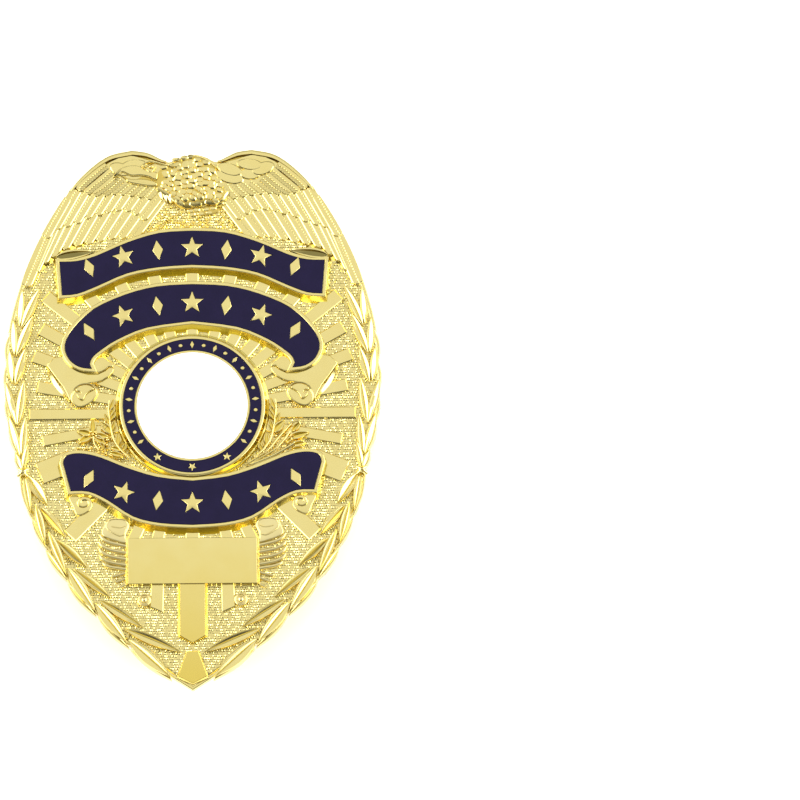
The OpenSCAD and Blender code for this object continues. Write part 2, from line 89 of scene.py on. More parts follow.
def spline(rows, steps, closed=False):
    """A smooth path through the rows."""
    rows = np.asarray(rows, float)
    n = len(rows)
    out = []
    for i in range(n if closed else n - 1):
        a, b, c, d = (rows[k % n if closed else min(max(k, 0), n - 1)] for k in range(i - 1, i + 3))
        for k in range(steps):
            t = k / steps
            out.append(b + 0.5 * t * (c - a + t * (2 * a - 5 * b + 4 * c - d + t * (3 * (b - c) + d - a))))
    return np.array(out if closed else out + [rows[-1]])


def closed_spline(rows, steps):
    return spline(rows, steps, True)


def run_of(path):
    """Distance along a path to each of its points."""
    return np.concatenate([[0], np.cumsum(np.linalg.norm(np.diff(path, axis=0), axis=1))])


def place_at(path, run, s):
    return np.stack([np.interp(s, run, path[:, k]) for k in (0, 1)], -1)


def quarter(steps):
    """Places on an eased edge of radius 1, from its corner: in from the side, and below the top."""
    return [(1 - cos(pi / 2 * k / steps), 1 - sin(pi / 2 * k / steps)) for k in range(steps + 1)]


def outset(p, d):
    """Moves each side of a counterclockwise outline out by d."""
    p = np.asarray(p, float)
    u = p - np.roll(p, 1, 0)
    v = np.roll(p, -1, 0) - p
    u /= np.linalg.norm(u, axis=1)[:, None]
    v /= np.linalg.norm(v, axis=1)[:, None]
    lean = np.maximum(1 + (u * v).sum(1), 0.35)[:, None]
    return p + np.stack([u[:, 1] + v[:, 1], -u[:, 0] - v[:, 0]], 1) * d / lean


def oval(c, r, turn, n=28):
    a = angles(n)
    return np.asarray(c) + rot(np.stack([r[0] * np.cos(a), r[1] * np.sin(a)], 1), turn)


def inside(points, poly):
    """Which points lie in the outline."""
    points, poly = np.asarray(points, float), np.asarray(poly, float)
    hit = np.zeros(len(points), bool)
    for (x0, y0), (x1, y1) in zip(poly, np.roll(poly, -1, 0)):
        if y0 == y1:
            continue
        cross = (y0 > points[:, 1]) != (y1 > points[:, 1])
        hit ^= cross & (points[:, 0] < (x1 - x0) * (points[:, 1] - y0) / (y1 - y0) + x0)
    return hit


# ---- meshes
class Form:
    """Closed shapes that become one mesh. Heights are above the plate's back, unless lift is 0."""

    def __init__(self, lift=BACK):
        self.verts, self.faces, self.lift = [], [], lift

    def add(self, verts, faces):
        n = len(self.verts)
        self.verts += [(float(x), float(y), float(z) + self.lift) for x, y, z in verts]
        self.faces += [[n + i for i in f] for f in faces]

    def loft(self, rings, closed=False):
        """Joins rings of as many points each, and caps both ends, or joins the last ring to the first."""
        m = len(rings[0])
        faces = []
        for k in range(len(rings) if closed else len(rings) - 1):
            a, b = k * m, (k + 1) % len(rings) * m
            faces += [(a + i, a + (i + 1) % m, b + (i + 1) % m, b + i) for i in range(m)]
        if not closed:
            faces += [list(range(m))[::-1], [(len(rings) - 1) * m + i for i in range(m)]]
        self.add([p for ring in rings for p in ring], faces)

    def slab(self, outline, top, bevel=0.12, base=FLOOR, steps=2):
        """A raised flat shape with eased edges."""
        self.loft([raised(outline, base)] + [raised(outset(outline, -bevel * x), top - bevel * z)
                                             for x, z in quarter(steps)])

    def dome(self, outline, edge, top, centre=None, steps=6):
        """A shape that rounds up from its edge to the middle."""
        c = outline.mean(0) if centre is None else centre
        rings = [raised(outline, FLOOR)]
        for k in range(steps):
            a = pi / 2 * k / steps
            rings.append(raised(c + (outline - c) * cos(a), edge + (top - edge) * sin(a)))
        self.loft(rings)

    def sheet(self, top, base=FLOOR):
        """A grid of points as the top of a closed shape that goes down to a flat base."""
        n, m = top.shape[:2]
        verts = top.reshape(-1, 3).tolist()
        faces = [(i * m + j, i * m + j + 1, (i + 1) * m + j + 1, (i + 1) * m + j)
                 for i in range(n - 1) for j in range(m - 1)]
        rim = [*range(m), *range(2 * m - 1, n * m, m),
               *range(n * m - 2, (n - 1) * m - 1, -1), *range((n - 2) * m, 0, -m)]
        low = len(verts)
        verts += [(verts[i][0], verts[i][1], base) for i in rim]
        k = len(rim)
        faces += [(rim[(i + 1) % k], rim[i], low + i, low + (i + 1) % k) for i in range(k)]
        faces.append([low + i for i in range(k)])
        self.add(verts, faces)

    def bead(self, path, radius, sides=8):
        """A round bar along a path of points with heights, thinner at its ends where radius is a list."""
        path = np.asarray(path, float)
        radius = np.broadcast_to(radius, (len(path),))
        way = np.gradient(path, axis=0)
        rings = []
        for p, w, r in zip(path, way, radius):
            side = Vector((w[1], -w[0], 0)).normalized() if abs(w[0]) + abs(w[1]) > 1e-9 else Vector((1, 0, 0))
            up = Vector(w).cross(side).normalized()
            rings.append([p + r * (cos(a) * np.array(side) + sin(a) * np.array(up)) for a in angles(sides)])
        self.loft(rings)

    def turned(self, profile, centre, n, closed=False):
        """A profile of radii and heights turned round an upright axis."""
        x, y = centre
        self.loft([[(x + r * cos(a), y + r * sin(a), z) for a in angles(n)] for r, z in profile], closed)

    def both(self, make):
        """What make adds, and its mirror image on the right side."""
        v0, f0 = len(self.verts), len(self.faces)
        make()
        shift = len(self.verts) - v0
        self.verts += [(-x, y, z) for x, y, z in self.verts[v0:]]
        self.faces += [[i + shift for i in f[::-1]] for f in self.faces[f0:]]


def raised(points, z):
    return [(p[0], p[1], z) for p in points]


def hoop(x, y, z, r, n=24):
    """A circle across the badge, round a line that runs along X."""
    return [(x, y + r * cos(a), z + r * sin(a)) for a in angles(n)]


def piece(name, form, look, angle=40, body="badge", node="badge_body"):
    mesh = bpy.data.meshes.new(name)
    mesh.from_pydata([(x * MM, y * MM, z * MM) for x, y, z in form.verts], [], form.faces)
    bm = bmesh.new()
    bm.from_mesh(mesh)
    bmesh.ops.recalc_face_normals(bm, faces=bm.faces)
    bm.to_mesh(mesh)
    bm.free()
    mesh.shade_smooth()
    mesh.set_sharp_from_angle(angle=radians(angle))
    o = bpy.data.objects.new(name, mesh)
    bpy.context.scene.collection.objects.link(o)
    mesh.materials.append(look)
    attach(o, body)
    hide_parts(node)
    return o


# ---- materials
def linked(tree, kind, inputs, **settings):
    node = tree.nodes.new(kind)
    for key, value in settings.items():
        setattr(node, key, value)
    for key, value in inputs.items():
        if isinstance(value, bpy.types.NodeSocket):
            tree.links.new(value, node.inputs[key])
        else:
            node.inputs[key].default_value = value
    return node


def noise(tree, scale, detail=3, stretch=(1, 1, 1)):
    """Noise over the piece's own places, with scale in cycles per mm."""
    places = linked(tree, "ShaderNodeTexCoord", {}).outputs["Object"]
    fitted = linked(tree, "ShaderNodeMapping", {"Vector": places, "Scale": [1000 * s for s in stretch]})
    return linked(tree, "ShaderNodeTexNoise",
                  {"Vector": fitted.outputs["Vector"], "Scale": scale, "Detail": detail}).outputs["Fac"]


def ramp(tree, value, stops):
    node = linked(tree, "ShaderNodeValToRGB", {"Fac": value})
    node.color_ramp.elements[0].position, node.color_ramp.elements[0].color = stops[0]
    node.color_ramp.elements[1].position, node.color_ramp.elements[1].color = stops[-1]
    for place, colour in stops[1:-1]:
        node.color_ramp.elements.new(place).color = colour
    return node.outputs["Color"]


def greys(tree, value, *stops):
    return ramp(tree, value, [(place, (v, v, v, 1)) for place, v in stops])


def spread(tree, value, low, high):
    return linked(tree, "ShaderNodeMapRange", {"Value": value, "To Min": low, "To Max": high}).outputs["Result"]


def material(name, **sockets):
    mat = bpy.data.materials.new(name)
    mat.use_nodes = True
    bsdf = mat.node_tree.nodes["Principled BSDF"]
    for key, value in sockets.items():
        bsdf.inputs[key.replace("_", " ")].default_value = value
    return mat, mat.node_tree, bsdf


def dress(tree, bsdf, tone, fine, rough, strength, depth):
    """Gives a material its tone, and a gloss and a surface that follow a fine noise."""
    tree.links.new(tone, bsdf.inputs["Base Color"])
    tree.links.new(spread(tree, fine, *rough), bsdf.inputs["Roughness"])
    bump = linked(tree, "ShaderNodeBump", {"Height": fine, "Strength": strength, "Distance": depth * MM})
    tree.links.new(bump.outputs["Normal"], bsdf.inputs["Normal"])


GOLD, GOLD_DEEP = (0.88, 0.75, 0.3), (0.865, 0.72, 0.265)


def metal(name, rough, grain, depth, light=GOLD, dark=GOLD_DEEP, stretch=(1, 1, 1), fade=None):
    """Plated metal: two tones in soft patches, a grain, and, with fade, painted light: another tone below a height or
    place, standing in for shade and reflected gold there.
    """
    mat, tree, bsdf = material(name, Metallic=1)
    tone = ramp(tree, noise(tree, 0.35, 4), [(0.3, (*dark, 1)), (0.7, (*light, 1))])
    # painted shade and painted reflection: the fade tone is mixed in below a height, or towards one end along an axis
    if fade:
        axis, lo, hi, deep = fade
        place = linked(tree, "ShaderNodeSeparateXYZ", {0: linked(tree, "ShaderNodeTexCoord", {}).outputs["Object"]})
        share = linked(tree, "ShaderNodeMapRange", {0: place.outputs[axis], 1: lo * MM, 2: hi * MM})
        mix = linked(tree, "ShaderNodeMix", {0: share.outputs[0], 6: (*deep, 1), 7: tone}, data_type="RGBA")
        tone = mix.outputs[2]
    dress(tree, bsdf, tone, noise(tree, grain, 3, stretch), rough, 0.6, depth)
    return mat


def enamel(name, light, dark, rough):
    """Hard enamel: fine specks and an almost flat, glossy top."""
    mat, tree, bsdf = material(name, Specular_IOR_Level=0.19)
    clouds, specks = noise(tree, 0.5, 3), noise(tree, 9, 2)
    mixed = linked(tree, "ShaderNodeMath", {0: clouds, 1: specks}, operation="MULTIPLY").outputs[0]
    dress(tree, bsdf, ramp(tree, mixed, [(0.15, (*dark, 1)), (0.4, (*light, 1))]), clouds, rough, 0.5, 0.006)
    return mat


def painted_light_below(lo, hi, tone):
    """Painted shade and painted reflection: another tone below the heights lo to hi above the plate's back."""
    return "Z", BACK + lo, BACK + hi, tone


polished = metal("gold_polished", (0.15, 0.22), 7, 0.003)
carved = metal("gold_carved", (0.14, 0.22), 9, 0.004)
# painted shade and reflection: the sprigs' hollows turn a darker, more saturated gold below 2.14 to 2.3
leafy_painted_shade = metal("gold_leafy_painted_shade", (0.14, 0.22), 9, 0.004, fade=painted_light_below(2.14, 2.3, (0.86, 0.66, 0.13)))
# painted reflection: the low ledges round the ring and under the ribbons turn a brighter, more saturated yellow below
# 2.06 to 2.16
ringed_painted_reflection = metal("gold_ringed_painted_reflection", (0.12, 0.2), 7, 0.003, fade=painted_light_below(2.06, 2.16, (0.92, 0.8, 0.24)))
# painted shade: the rolls at the top ribbon's ends turn dark olive in their hollows, below 2.2 to 2.42
rolled_painted_shade = metal("gold_rolled_painted_shade", (0.14, 0.22), 9, 0.004, fade=painted_light_below(2.2, 2.42, (0.3, 0.25, 0.08)))
# painted shade: the name plate, the bar and the point turn a darker, deeper gold towards the badge's foot, from y -18
# down to -38
shaded_towards_foot = metal("gold_shaded_towards_foot", (0.15, 0.22), 7, 0.003, fade=("Y", -38, -18, (0.81, 0.63, 0.14)))
# painted light: a slightly lighter, paler gold that lifts the shade on the ribs and bosses, with a softer gloss
soft = metal("gold_soft_painted_light", (0.27, 0.35), 9, 0.004, (0.9, 0.78, 0.37), (0.89, 0.755, 0.33))
shaded = metal("gold_shaded", (0.2, 0.3), 9, 0.004, (0.8, 0.62, 0.17), (0.74, 0.55, 0.12))
stippled = metal("gold_stippled", (0.12, 0.2), 6, 0.006)
rear = metal("gold_rear", (0.16, 0.24), 5, 0.003, (0.89, 0.75, 0.31), (0.87, 0.71, 0.26))
drawn = metal("gold_drawn", (0.14, 0.26), 6, 0.004, (0.89, 0.74, 0.31), (0.85, 0.68, 0.25), (1, 0.08, 1))
navy = enamel("enamel_navy", (0.0078, 0.0048, 0.029), (0.006, 0.0036, 0.023), (0.06, 0.12))
white = enamel("enamel_white", (0.97, 0.97, 0.965), (0.94, 0.94, 0.935), (0.08, 0.16))

# ---- plate
EDGE = [[40, 8.6], [39.1, 12.2], [36.2, 15.8], [32, 19], [26, 22.3], [20, 24.6], [13, 26.3], [6.5, 26.8],
    [0, 26.4], [-7, 24.9], [-14, 23.1], [-20, 20.5], [-25, 17.2], [-30, 12.7], [-35, 7.3], [-40, 0]]
EDGE_CURVE = spline([(-w, y) for y, w in EDGE], 8)
NOTCHES = [12.8, 8.3, 3.8, -0.7, -4.6, -7.6, -11.2, -15.2, -19.4, -24, -29, -33.6, -38]
SCALLOP = 0.4


def edge_at(y):
    """The point of the smooth left edge at y."""
    up = EDGE_CURVE[::-1]
    return np.array((np.interp(y, up[:, 1], up[:, 0]), y))


def unit(v):
    return v / np.linalg.norm(v)


def left_edge():
    """The left edge with its scallops, from the crest to the foot."""
    rows = [p for p in EDGE_CURVE if p[1] > NOTCHES[0]]
    for y0, y1 in zip(NOTCHES, NOTCHES[1:]):
        for s in range(8):
            y = y0 + (y1 - y0) * s / 8
            e = edge_at(y)
            way = unit(edge_at(y - 0.5) - e)
            rows.append(e + SCALLOP * (sin(pi * s / 8) - 0.5) * np.array((way[1], -way[0])))
    return np.array(rows + [edge_at(NOTCHES[-1])])


CREST = spline([[-8.6, 40], [-6.2, 39.6], [-3.6, 38.4], [-1.6, 39.1], [0.3, 39.5], [2, 39.1], [3.6, 38.4],
                [6.2, 39.6], [8.6, 40]], 5)
LEFT = left_edge()
OUTLINE = np.concatenate([LEFT, [(0, -40)], mirrored(LEFT), CREST[-2:0:-1]])


def make_plate():
    form = Form()
    under, over = 0.18, 0.14        # roundings of the edge below and above
    rings = [raised(outset(OUTLINE, -under * z), under * x) for x, z in quarter(3)]
    rings += [raised(outset(OUTLINE, -over * x), LEDGE - over * z) for x, z in quarter(3)]
    rings += [raised(outset(OUTLINE, -inset), height)
              for inset, height in ((0.42, LEDGE), (0.46, FIELD - 0.06), (0.54, FIELD))]
    form.loft(rings)
    o = piece("plate", form, polished, 50)
    o.data.materials.append(rear)
    for f in o.data.polygons:
        if f.normal.z < -0.3:
            f.material_index = 1


# ---- rays
# Each ray's angle, reach and half width at its end
RAYS = [[0, 23.2, 0.76], [10.5, 22.4, 0.86], [21, 24.2, 0.9], [30.5, 25, 0.92], [40, 27.3, 0.95], [50, 24, 0.92],
    [62, 22.5, 0.9], [75, 22.8, 0.9], [90, 22.6, 0.9], [-10.5, 21.6, 0.76], [-22, 23.4, 1.6], [-46, 25, 1.12],
    [-65.7, 21, 0.8], [-75, 21, 0.8], [-90, 21, 1]]
SMALL_BAR = [(-6, -27.9), (-4.2, -28.7), (-4.1, -24.3), (-5.8, -24.3)]


def ray_outlines():
    out = []
    for turn, end, half in RAYS:
        near, start = min(half, 0.72) if half < 1.1 else half, 18.5 if half > 1 else 10
        wedge = (0, 0.6) + rot([(start, -near), (end, -half), (end, half), (start, near)], 180 - turn)
        out.append(wedge)
        if abs(turn) != 90:
            out.append(mirrored(wedge))
    return out + [np.array(SMALL_BAR), mirrored(SMALL_BAR)]


def make_rays():
    form = Form()
    for k, wedge in enumerate(ray_outlines()):
        top = 1.75 - 0.002 * (k % 3)        # rays that meet lie at slightly different heights
        form.loft([raised(outset(wedge, out), z) for out, z in ((0.05, FLOOR), (0.05, top - 0.09), (-0.06, top))])
    piece("rays", form, polished, 20)


# ---- leaves
def vee(a, b, c, width, slope=0.55):
    """A groove across a blade: places a and c at its edges and b at its bottom, from -1 to 1."""
    deep = slope * max(b - a, c - b) * width / 2
    return [(a, -0.01), (b, -deep), (c, -0.01)]


def blade(form, base, tip, width, lift, cut, steps=16, root=1.05, blunt=0.9, rim=0.05, under=FLOOR):
    """A pointed leaf from base to tip with a thin raised rim and the given cut along it, left side positive."""
    base, tip = np.asarray(base, float), np.asarray(tip, float)
    length = np.linalg.norm(tip - base)
    turn = degrees(atan2(*(tip - base)[::-1]))
    a, c = cut[0][0], cut[-1][0]
    ease = [(0.3, 0), (0.45, 1), (0.72, 0.6)]
    across = [(-1, None), (-0.97, -0.1), (-0.9, 0)] + [(-0.9 + (a + 0.9) * f, -rim * g) for f, g in ease] + cut
    across += [(0.9 - (0.9 - c) * f, -rim * g) for f, g in ease[::-1]] + [(0.9, 0), (0.97, -0.1), (1, None)]
    rows = []
    for i in range(steps + 1):
        t = 0.012 + 0.976 * i / steps
        full = sin(pi * t ** blunt)
        half, high = width / 2 * full, root + (lift - root) * (0.55 + 0.45 * sin(pi * t) ** 0.4)
        row = []
        for v, dz in across:
            x, y = rot((length * t, v * half), turn) + base
            row.append((x, y, root if dz is None else high + dz * full ** 0.8))
        rows.append(row)
    form.sheet(np.array(rows)[:, ::-1], under)


# Leaves of the left spray: base, tip, width, height, and the groove's places from the right side to the left
LAUREL = [
    (-24.7, 13.66, -24.26, 19.37, 1.2, 2.05, -0.4, 0.1, 0.5),
    (-24.42, 13.31, -21.76, 19.35, 1.35, 2.25, -0.08, 0.06, 0.8),
    (-25.36, 9.39, -25.55, 14.74, 1.25, 2.05, -0.3, 0.1, 0.55),
    (-25.08, 9.27, -22.7, 15.31, 1.4, 2.25, -0.08, 0.06, 0.8),
    (-25.68, 5.23, -26.15, 10.35, 1.25, 2.05, -0.45, 0, 0.4),
    (-25.22, 4.99, -23.76, 10.45, 1.35, 2.25, -0.05, 0.1, 0.8),
    (-25, -1.14, -26.75, 5.54, 1.3, 2.05, -0.3, 0.15, 0.5),
    (-24.85, -1.06, -23.92, 5.75, 1.35, 2.25, -0.08, 0.06, 0.75),
    (-24.43, -5.9, -26.24, 0.54, 1.3, 2.05, -0.4, 0.05, 0.45),
    (-24.25, -5.82, -23.73, 0.2, 1.3, 2.25, -0.05, 0.1, 0.75),
    (-24.22, -7.73, -25.21, -5.1, 0.95, 2.15, -0.4, 0, 0.4),
    (-24.14, -7.65, -23.38, -3.77, 1, 2.2, -0.1, 0.05, 0.7),
    (-24.41, -8.63, -22.9, -14.53, 1, 2, -0.35, 0, 0.4),
    (-23.56, -8.4, -20.6, -12.88, 1.65, 2.1, -0.45, 0.15, 0.78),
    (-23.9, -8.51, -22.97, -14.11, 1.2, 2.3, -0.25, -0.12, 0.3),
    (-22.83, -14.59, -20.62, -19.42, 0.95, 2, -0.35, 0, 0.4),
    (-21.6, -13.17, -18.02, -17.54, 1.5, 2.15, -0.78, 0, 0.14),
    (-22.33, -12.69, -20.84, -18.88, 1.35, 2.35, -0.45, 0.05, 0.2),
    (-20.84, -19.43, -17.86, -23.87, 0.95, 2, -0.35, 0, 0.4),
    (-19.3, -18.03, -14.96, -22.07, 1.4, 2.15, -0.5, 0.1, 0.3),
    (-20.55, -16.61, -17.85, -23.31, 1.35, 2.4, -0.5, 0.05, 0.2),
    (-17.75, -24.35, -13.57, -29.33, 1.05, 2, -0.35, 0, 0.4),
    (-16.98, -22.19, -11.56, -26.62, 1.35, 2.15, -0.3, 0.15, 0.35),
    (-17.79, -22.09, -13.74, -28.61, 1.85, 2.4, -0.26, -0.14, 0.3),
    (-13.46, -29.27, -8.91, -34.07, 1.05, 2, -0.35, 0, 0.4),
    (-13.22, -26.92, -6.97, -30.98, 1.45, 2.15, -0.1, 0.3, 0.6),
    (-13.91, -27.29, -9.26, -33.26, 1.85, 2.4, -0.15, 0, 0.42),
    (-8.91, -34.02, -2.88, -38.73, 1.05, 2, -0.35, 0, 0.4),
    (-9.79, -31.09, -1.51, -34.68, 1.55, 2.15, -0.1, 0.3, 0.65),
    (-9.15, -32.73, -3.06, -38.36, 2.1, 2.4, -0.15, 0, 0.4),
]
TIE_C = np.array((-24.1, -8.1))


def make_laurel():
    form = Form()

    def half():
        for k, (x0, y0, x1, y1, width, lift, a, b, c) in enumerate(LAUREL):
            # undersides at slightly different heights, so that none lie in one plane where leaves overlap
            blade(form, (x0, y0), (x1, y1), width, lift, vee(a, b, c, width, 0.55 if y1 > -9 else 0.7),
                  under=FLOOR - 0.006 * (k % 6))
        form.dome(oval(TIE_C, (0.7, 0.5), 20), 1.95, 2.5)
        for turn in (35, -40):
            way = rot((1, 0), turn)
            form.bead([(*(TIE_C + way * (1.8 * t - 0.9)), 2.05 + 0.4 * sin(pi * t))
                       for t in np.linspace(0, 1, 9)], 0.16)
    form.both(half)
    piece("laurel", form, carved, 38)


# ---- wings
# Rows of the left wing: tips from its outer edge inward, turn of the first and last feather, length, width, height
WING = [
    [[(-23.9, 19.6), (-22.8, 21.7), (-21.6, 23.1), (-20.2, 24.1), (-18.6, 25.2), (-16.9, 25.7), (-15.3, 25.95),
      (-13.7, 26.35), (-12.1, 26.7), (-10.5, 26.8), (-8.9, 26.5)], -22, -36, 8.6, 1.75, 2.06],
    [[(-21.2, 26.8), (-19.8, 28.1), (-18.4, 28.5), (-16.9, 29), (-15.4, 29.75), (-13.9, 30.2), (-12.5, 30.6),
      (-11.1, 30.9), (-9.7, 30.8), (-8.5, 30.3), (-7.4, 29.5)], -28, -36, 6.6, 1.65, 2.31],
]
BARB_PITCH = 0.42
FEATHER_ACROSS = [-1, -0.8, -0.5, -0.25, -0.1, 0, 0.1, 0.3, 0.52, 0.72, 0.87, 1]


def feather(form, path, width, lift, barb=0.02, step=0.14, slit=-0.04, low=0.87):
    """A feather along a path from its round tip, with barbs, a shaft or slit, and one edge raised over the next."""
    rows = []
    path = spline(path, 12)
    run = run_of(path)
    length = run[-1]
    for s in np.concatenate([[0, 0.03, 0.08, 0.16, 0.27, 0.39], np.arange(0.5, length, BARB_PITCH / 4), [length]]):
        spine = place_at(path, run, s)
        ahead = place_at(path, run, s + 0.05) - place_at(path, run, s - 0.05)
        side = unit(np.array((ahead[1], -ahead[0])))
        half = width / 2 * sqrt(max(1 - (1 - min(s / (width / 2), 1)) ** 2, 0.006))
        fade = min(s / 0.4, 1)
        row = []
        for v in FEATHER_ACROSS:
            u = v * half
            z = lift - step * (1 - v) / 2 - 0.6 * step * max(v - low, 0) / (1 - low) - 0.3 * exp(-s / 0.1)
            if v == 0:
                z -= slit * fade
            elif abs(v) < 0.75:
                z += barb * cos(2 * pi * (s - 0.9 * abs(u)) / BARB_PITCH) * fade
            x, y = spine + side * u
            row.append((max(x, edge_at(y)[0] + 0.15), y, z))
        rows.append(row)
    form.sheet(np.array(rows))


# Front feathers of the left wing: path from the tip, and width
FRONT = [[[[-16.35, 33.8], [-15.5, 34.75], [-14.4, 35.75], [-13.2, 36.8], [-12.2, 37.5]], 1],
         [[[-15.3, 33.3], [-14.3, 34.2], [-13.1, 35.2], [-12, 36.2], [-11.3, 36.9]], 1],
         [[[-14.25, 33.1], [-13.2, 33.75], [-12.1, 34.6], [-11.1, 35.5], [-10.5, 36.1]], 1],
         [[[-12.9, 33.1], [-11.9, 33.8], [-10.9, 34.7], [-10.1, 35.5]], 1],
         [[[-11.75, 33.3], [-10.7, 34.2], [-9.7, 35.1]], 1.1], [[[-10.5, 33.2], [-9.4, 34.2], [-8.5, 35]], 1.15],
         [[[-9.25, 33.05], [-8.1, 34.1], [-7.2, 35]], 1.2], [[[-8, 32.8], [-6.9, 33.9], [-6, 34.9]], 1.2],
         [[[-6.7, 32.5], [-5.7, 33.6], [-4.9, 34.8]], 1.25]]
# Coverts at the wing's root, from the lowest: middle, half length, half width and turn
COVERTS = [[(-5.4, 35.7), 2.1, 1, 16], [(-8.3, 36.1), 1.5, 0.85, 4], [(-5.4, 36.8), 1.9, 0.9, 18],
    [(-10.2, 36.9), 1.7, 0.95, -20], [(-8.3, 37.5), 1.9, 0.85, 6]]
COVERT_GROUND = [(-3.2, 34), (-4.2, 37.3), (-6.6, 38.3), (-9, 38.9), (-11, 38.3), (-12.2, 37.3), (-10.4, 35.4),
    (-7, 34.4)]


def make_wings():
    form = Form()

    def half():
        for tips, turn0, turn1, length, width, lift in WING:
            for i, tip in enumerate(tips):
                root = tip + rot((0, length), turn0 + (turn1 - turn0) * i / (len(tips) - 1))
                feather(form, [tip, (root + tip) / 2, root], width, lift - 0.006 * i)
        for i, (path, width) in enumerate(FRONT):
            feather(form, path, width * 1.12, 2.45 - 0.012 * i, barb=0.03, step=0.09, slit=0.05, low=0.8)
        form.slab(spline(COVERT_GROUND, 4)[::-1], 2.3, 0.1)
        for i, (c, long, wide, turn) in enumerate(COVERTS):
            shape = oval(c, (long, wide), turn, 36)
            top = 2.46 + 0.04 * i
            form.loft([raised(shape, FLOOR), raised(shape, top - 0.14)]
                      + [raised(c + (shape - c) * share, top + rise)
                         for share, rise in ((0.95, -0.06), (0.86, 0), (0.5, 0.02), (0.1, 0.03))])
    form.both(half)
    piece("wing_feathers", form, carved, 20)
    form = Form()

    def band():
        # Plain rim from the wing's root over its top and down its front edge, narrower at both ends
        edge = outset(OUTLINE, -0.12)
        edge = np.array([p for p in edge if p[1] > 31.5 and -18 < p[0] < -3.4])
        edge = edge[np.argsort(edge[:, 0])]
        run = run_of(edge)
        along = np.linspace(0, run[-1], 70)
        edge = place_at(edge, run, along)
        way = np.gradient(edge, axis=0)
        way /= np.linalg.norm(way, axis=1)[:, None]
        width = np.interp(along / run[-1], [0, 0.25, 0.6, 0.85, 1], [0.45, 0.75, 0.95, 0.8, 0.4])
        inner = edge + np.stack([way[:, 1], -way[:, 0]], 1) * width[:, None]
        across = [(0, 1.75), (0.12, 2.35), (0.25, 2.5), (0.6, 2.56), (0.86, 2.54), (1, 2.2)]
        strip(form, edge, inner, across, ends=0.2)
    form.both(band)
    piece("wing_band", form, polished, 50)


# ---- eagle
HEAD = closed_spline([[-6.6, 37.6], [-4.4, 38], [-3.3, 37.7], [-1.8, 38.5], [0.4, 39], [2.3, 38.3], [3.8, 36.6],
    [4.8, 34.2], [5.2, 32.8], [4, 31.6], [1.6, 31.4], [-1, 31], [-3.2, 32.4], [-5.4, 33.9], [-6.6, 35.4]], 4)[::-1]
HEAD_C = np.array((-0.4, 34.9))
HEAD_EDGE, HEAD_TOP = 2.12, 2.72
UPPER_BEAK = [(-11.3, 35.6), (-10.96, 36.25), (-10.38, 36.8), (-9.67, 37.2), (-8.64, 37.4), (-7.49, 37.3),
    (-7, 36.9), (-6.3, 36.6), (-5, 36.3), (-4.9, 35.5), (-5.3, 35.15), (-6.2, 35.6), (-7.37, 35.82),
    (-8.52, 35.76), (-9.29, 36.05), (-9.95, 36.35), (-10.4, 36)]
LOWER_BEAK = [(-9.3, 35.5), (-8.9, 35.45), (-8.27, 35.4), (-7.24, 35.42), (-6.1, 35.25), (-5.2, 34.95),
    (-5, 34.35), (-6.22, 34.3), (-7.51, 34.5), (-8.7, 34.75), (-9.4, 35.05)]
BROW = [(-7.3, 37.2), (-6.85, 37.65), (-6.16, 37.95), (-5.29, 37.88), (-4.31, 37.6), (-3.5, 37.4), (-2.4, 37.25)]
CHEEK = [(-6.9, 36.95), (-6.45, 36.7), (-5.95, 36.35), (-5.5, 36.7), (-5.15, 37.25)]
# Short feathers in rows at the breast's foot, middle of each
BRICKS = [(-0.42, 31.3), (0.6, 31.45), (1.75, 31.6), (2.9, 31.7), (-0.3, 30.75), (0.75, 30.85), (1.95, 31),
    (3.1, 31.1), (0.1, 30.25), (1.2, 30.3), (2.4, 30.45)]
# Long neck feathers, from the root to the tip
NECK = [((-4.9, 34.1), (-4.2, 32.1), 0.55), ((-4.2, 34), (-3.6, 31.9), 0.6), ((-3.6, 33.9), (-3, 31.7), 0.65),
    ((-3.1, 33.7), (-2, 31.9), 0.65), ((-2.5, 33), (-1.4, 31.4), 0.6), ((4.5, 33.9), (3.1, 32.4), 0.55),
    ((5.5, 33.7), (4.3, 31.8), 0.65), ((5.2, 32.6), (3.7, 31.6), 0.6), ((4, 33.3), (2.7, 32), 0.5),
    ((4.8, 31.8), (3.3, 31.2), 0.55)]


def head_height(p):
    d = p - HEAD_C
    rim = HEAD - HEAD_C
    turn = np.arctan2(rim[:, 1], rim[:, 0])
    order = np.argsort(turn)
    reach = np.interp(atan2(d[1], d[0]), turn[order], np.hypot(*rim[order].T), period=2 * pi)
    share = min(np.hypot(*d) / reach, 1)
    return HEAD_EDGE + (HEAD_TOP - HEAD_EDGE) * sqrt(1 - share ** 2)


def scale(form, tip, turn, length, width, ground=None, rise=0.05, way=(0.12, 0)):
    """A small square-ended feather with a flat top whose slope is wider on the side that way points away from."""
    a = angles(16)
    x, y = np.cos(a), np.sin(a)
    outline = np.stack([np.sign(x) * np.abs(x) ** 0.75 * length / 2, np.sign(y) * np.abs(y) ** 0.6 * width / 2], 1)
    centre = tip - rot((length / 2, 0), turn)
    back = np.array(way) * length
    rings = []
    for share, move, high in ((1, 0, None), (0.97, 0, -0.02), (0.94, 0.1, 0.05), (0.8, 1, 0.17), (0.1, 1, 0.18)):
        shape = outline * share - move * back
        ring = []
        for p, q in zip(rot(shape, turn) + centre, shape):
            level = ground or head_height(p)
            if high is None:
                z = FLOOR if ground else level - 0.5
            else:
                z = level + high + rise * q[0] / length * 2
            ring.append((*p, z))
        rings.append(ring)
    form.loft(rings)


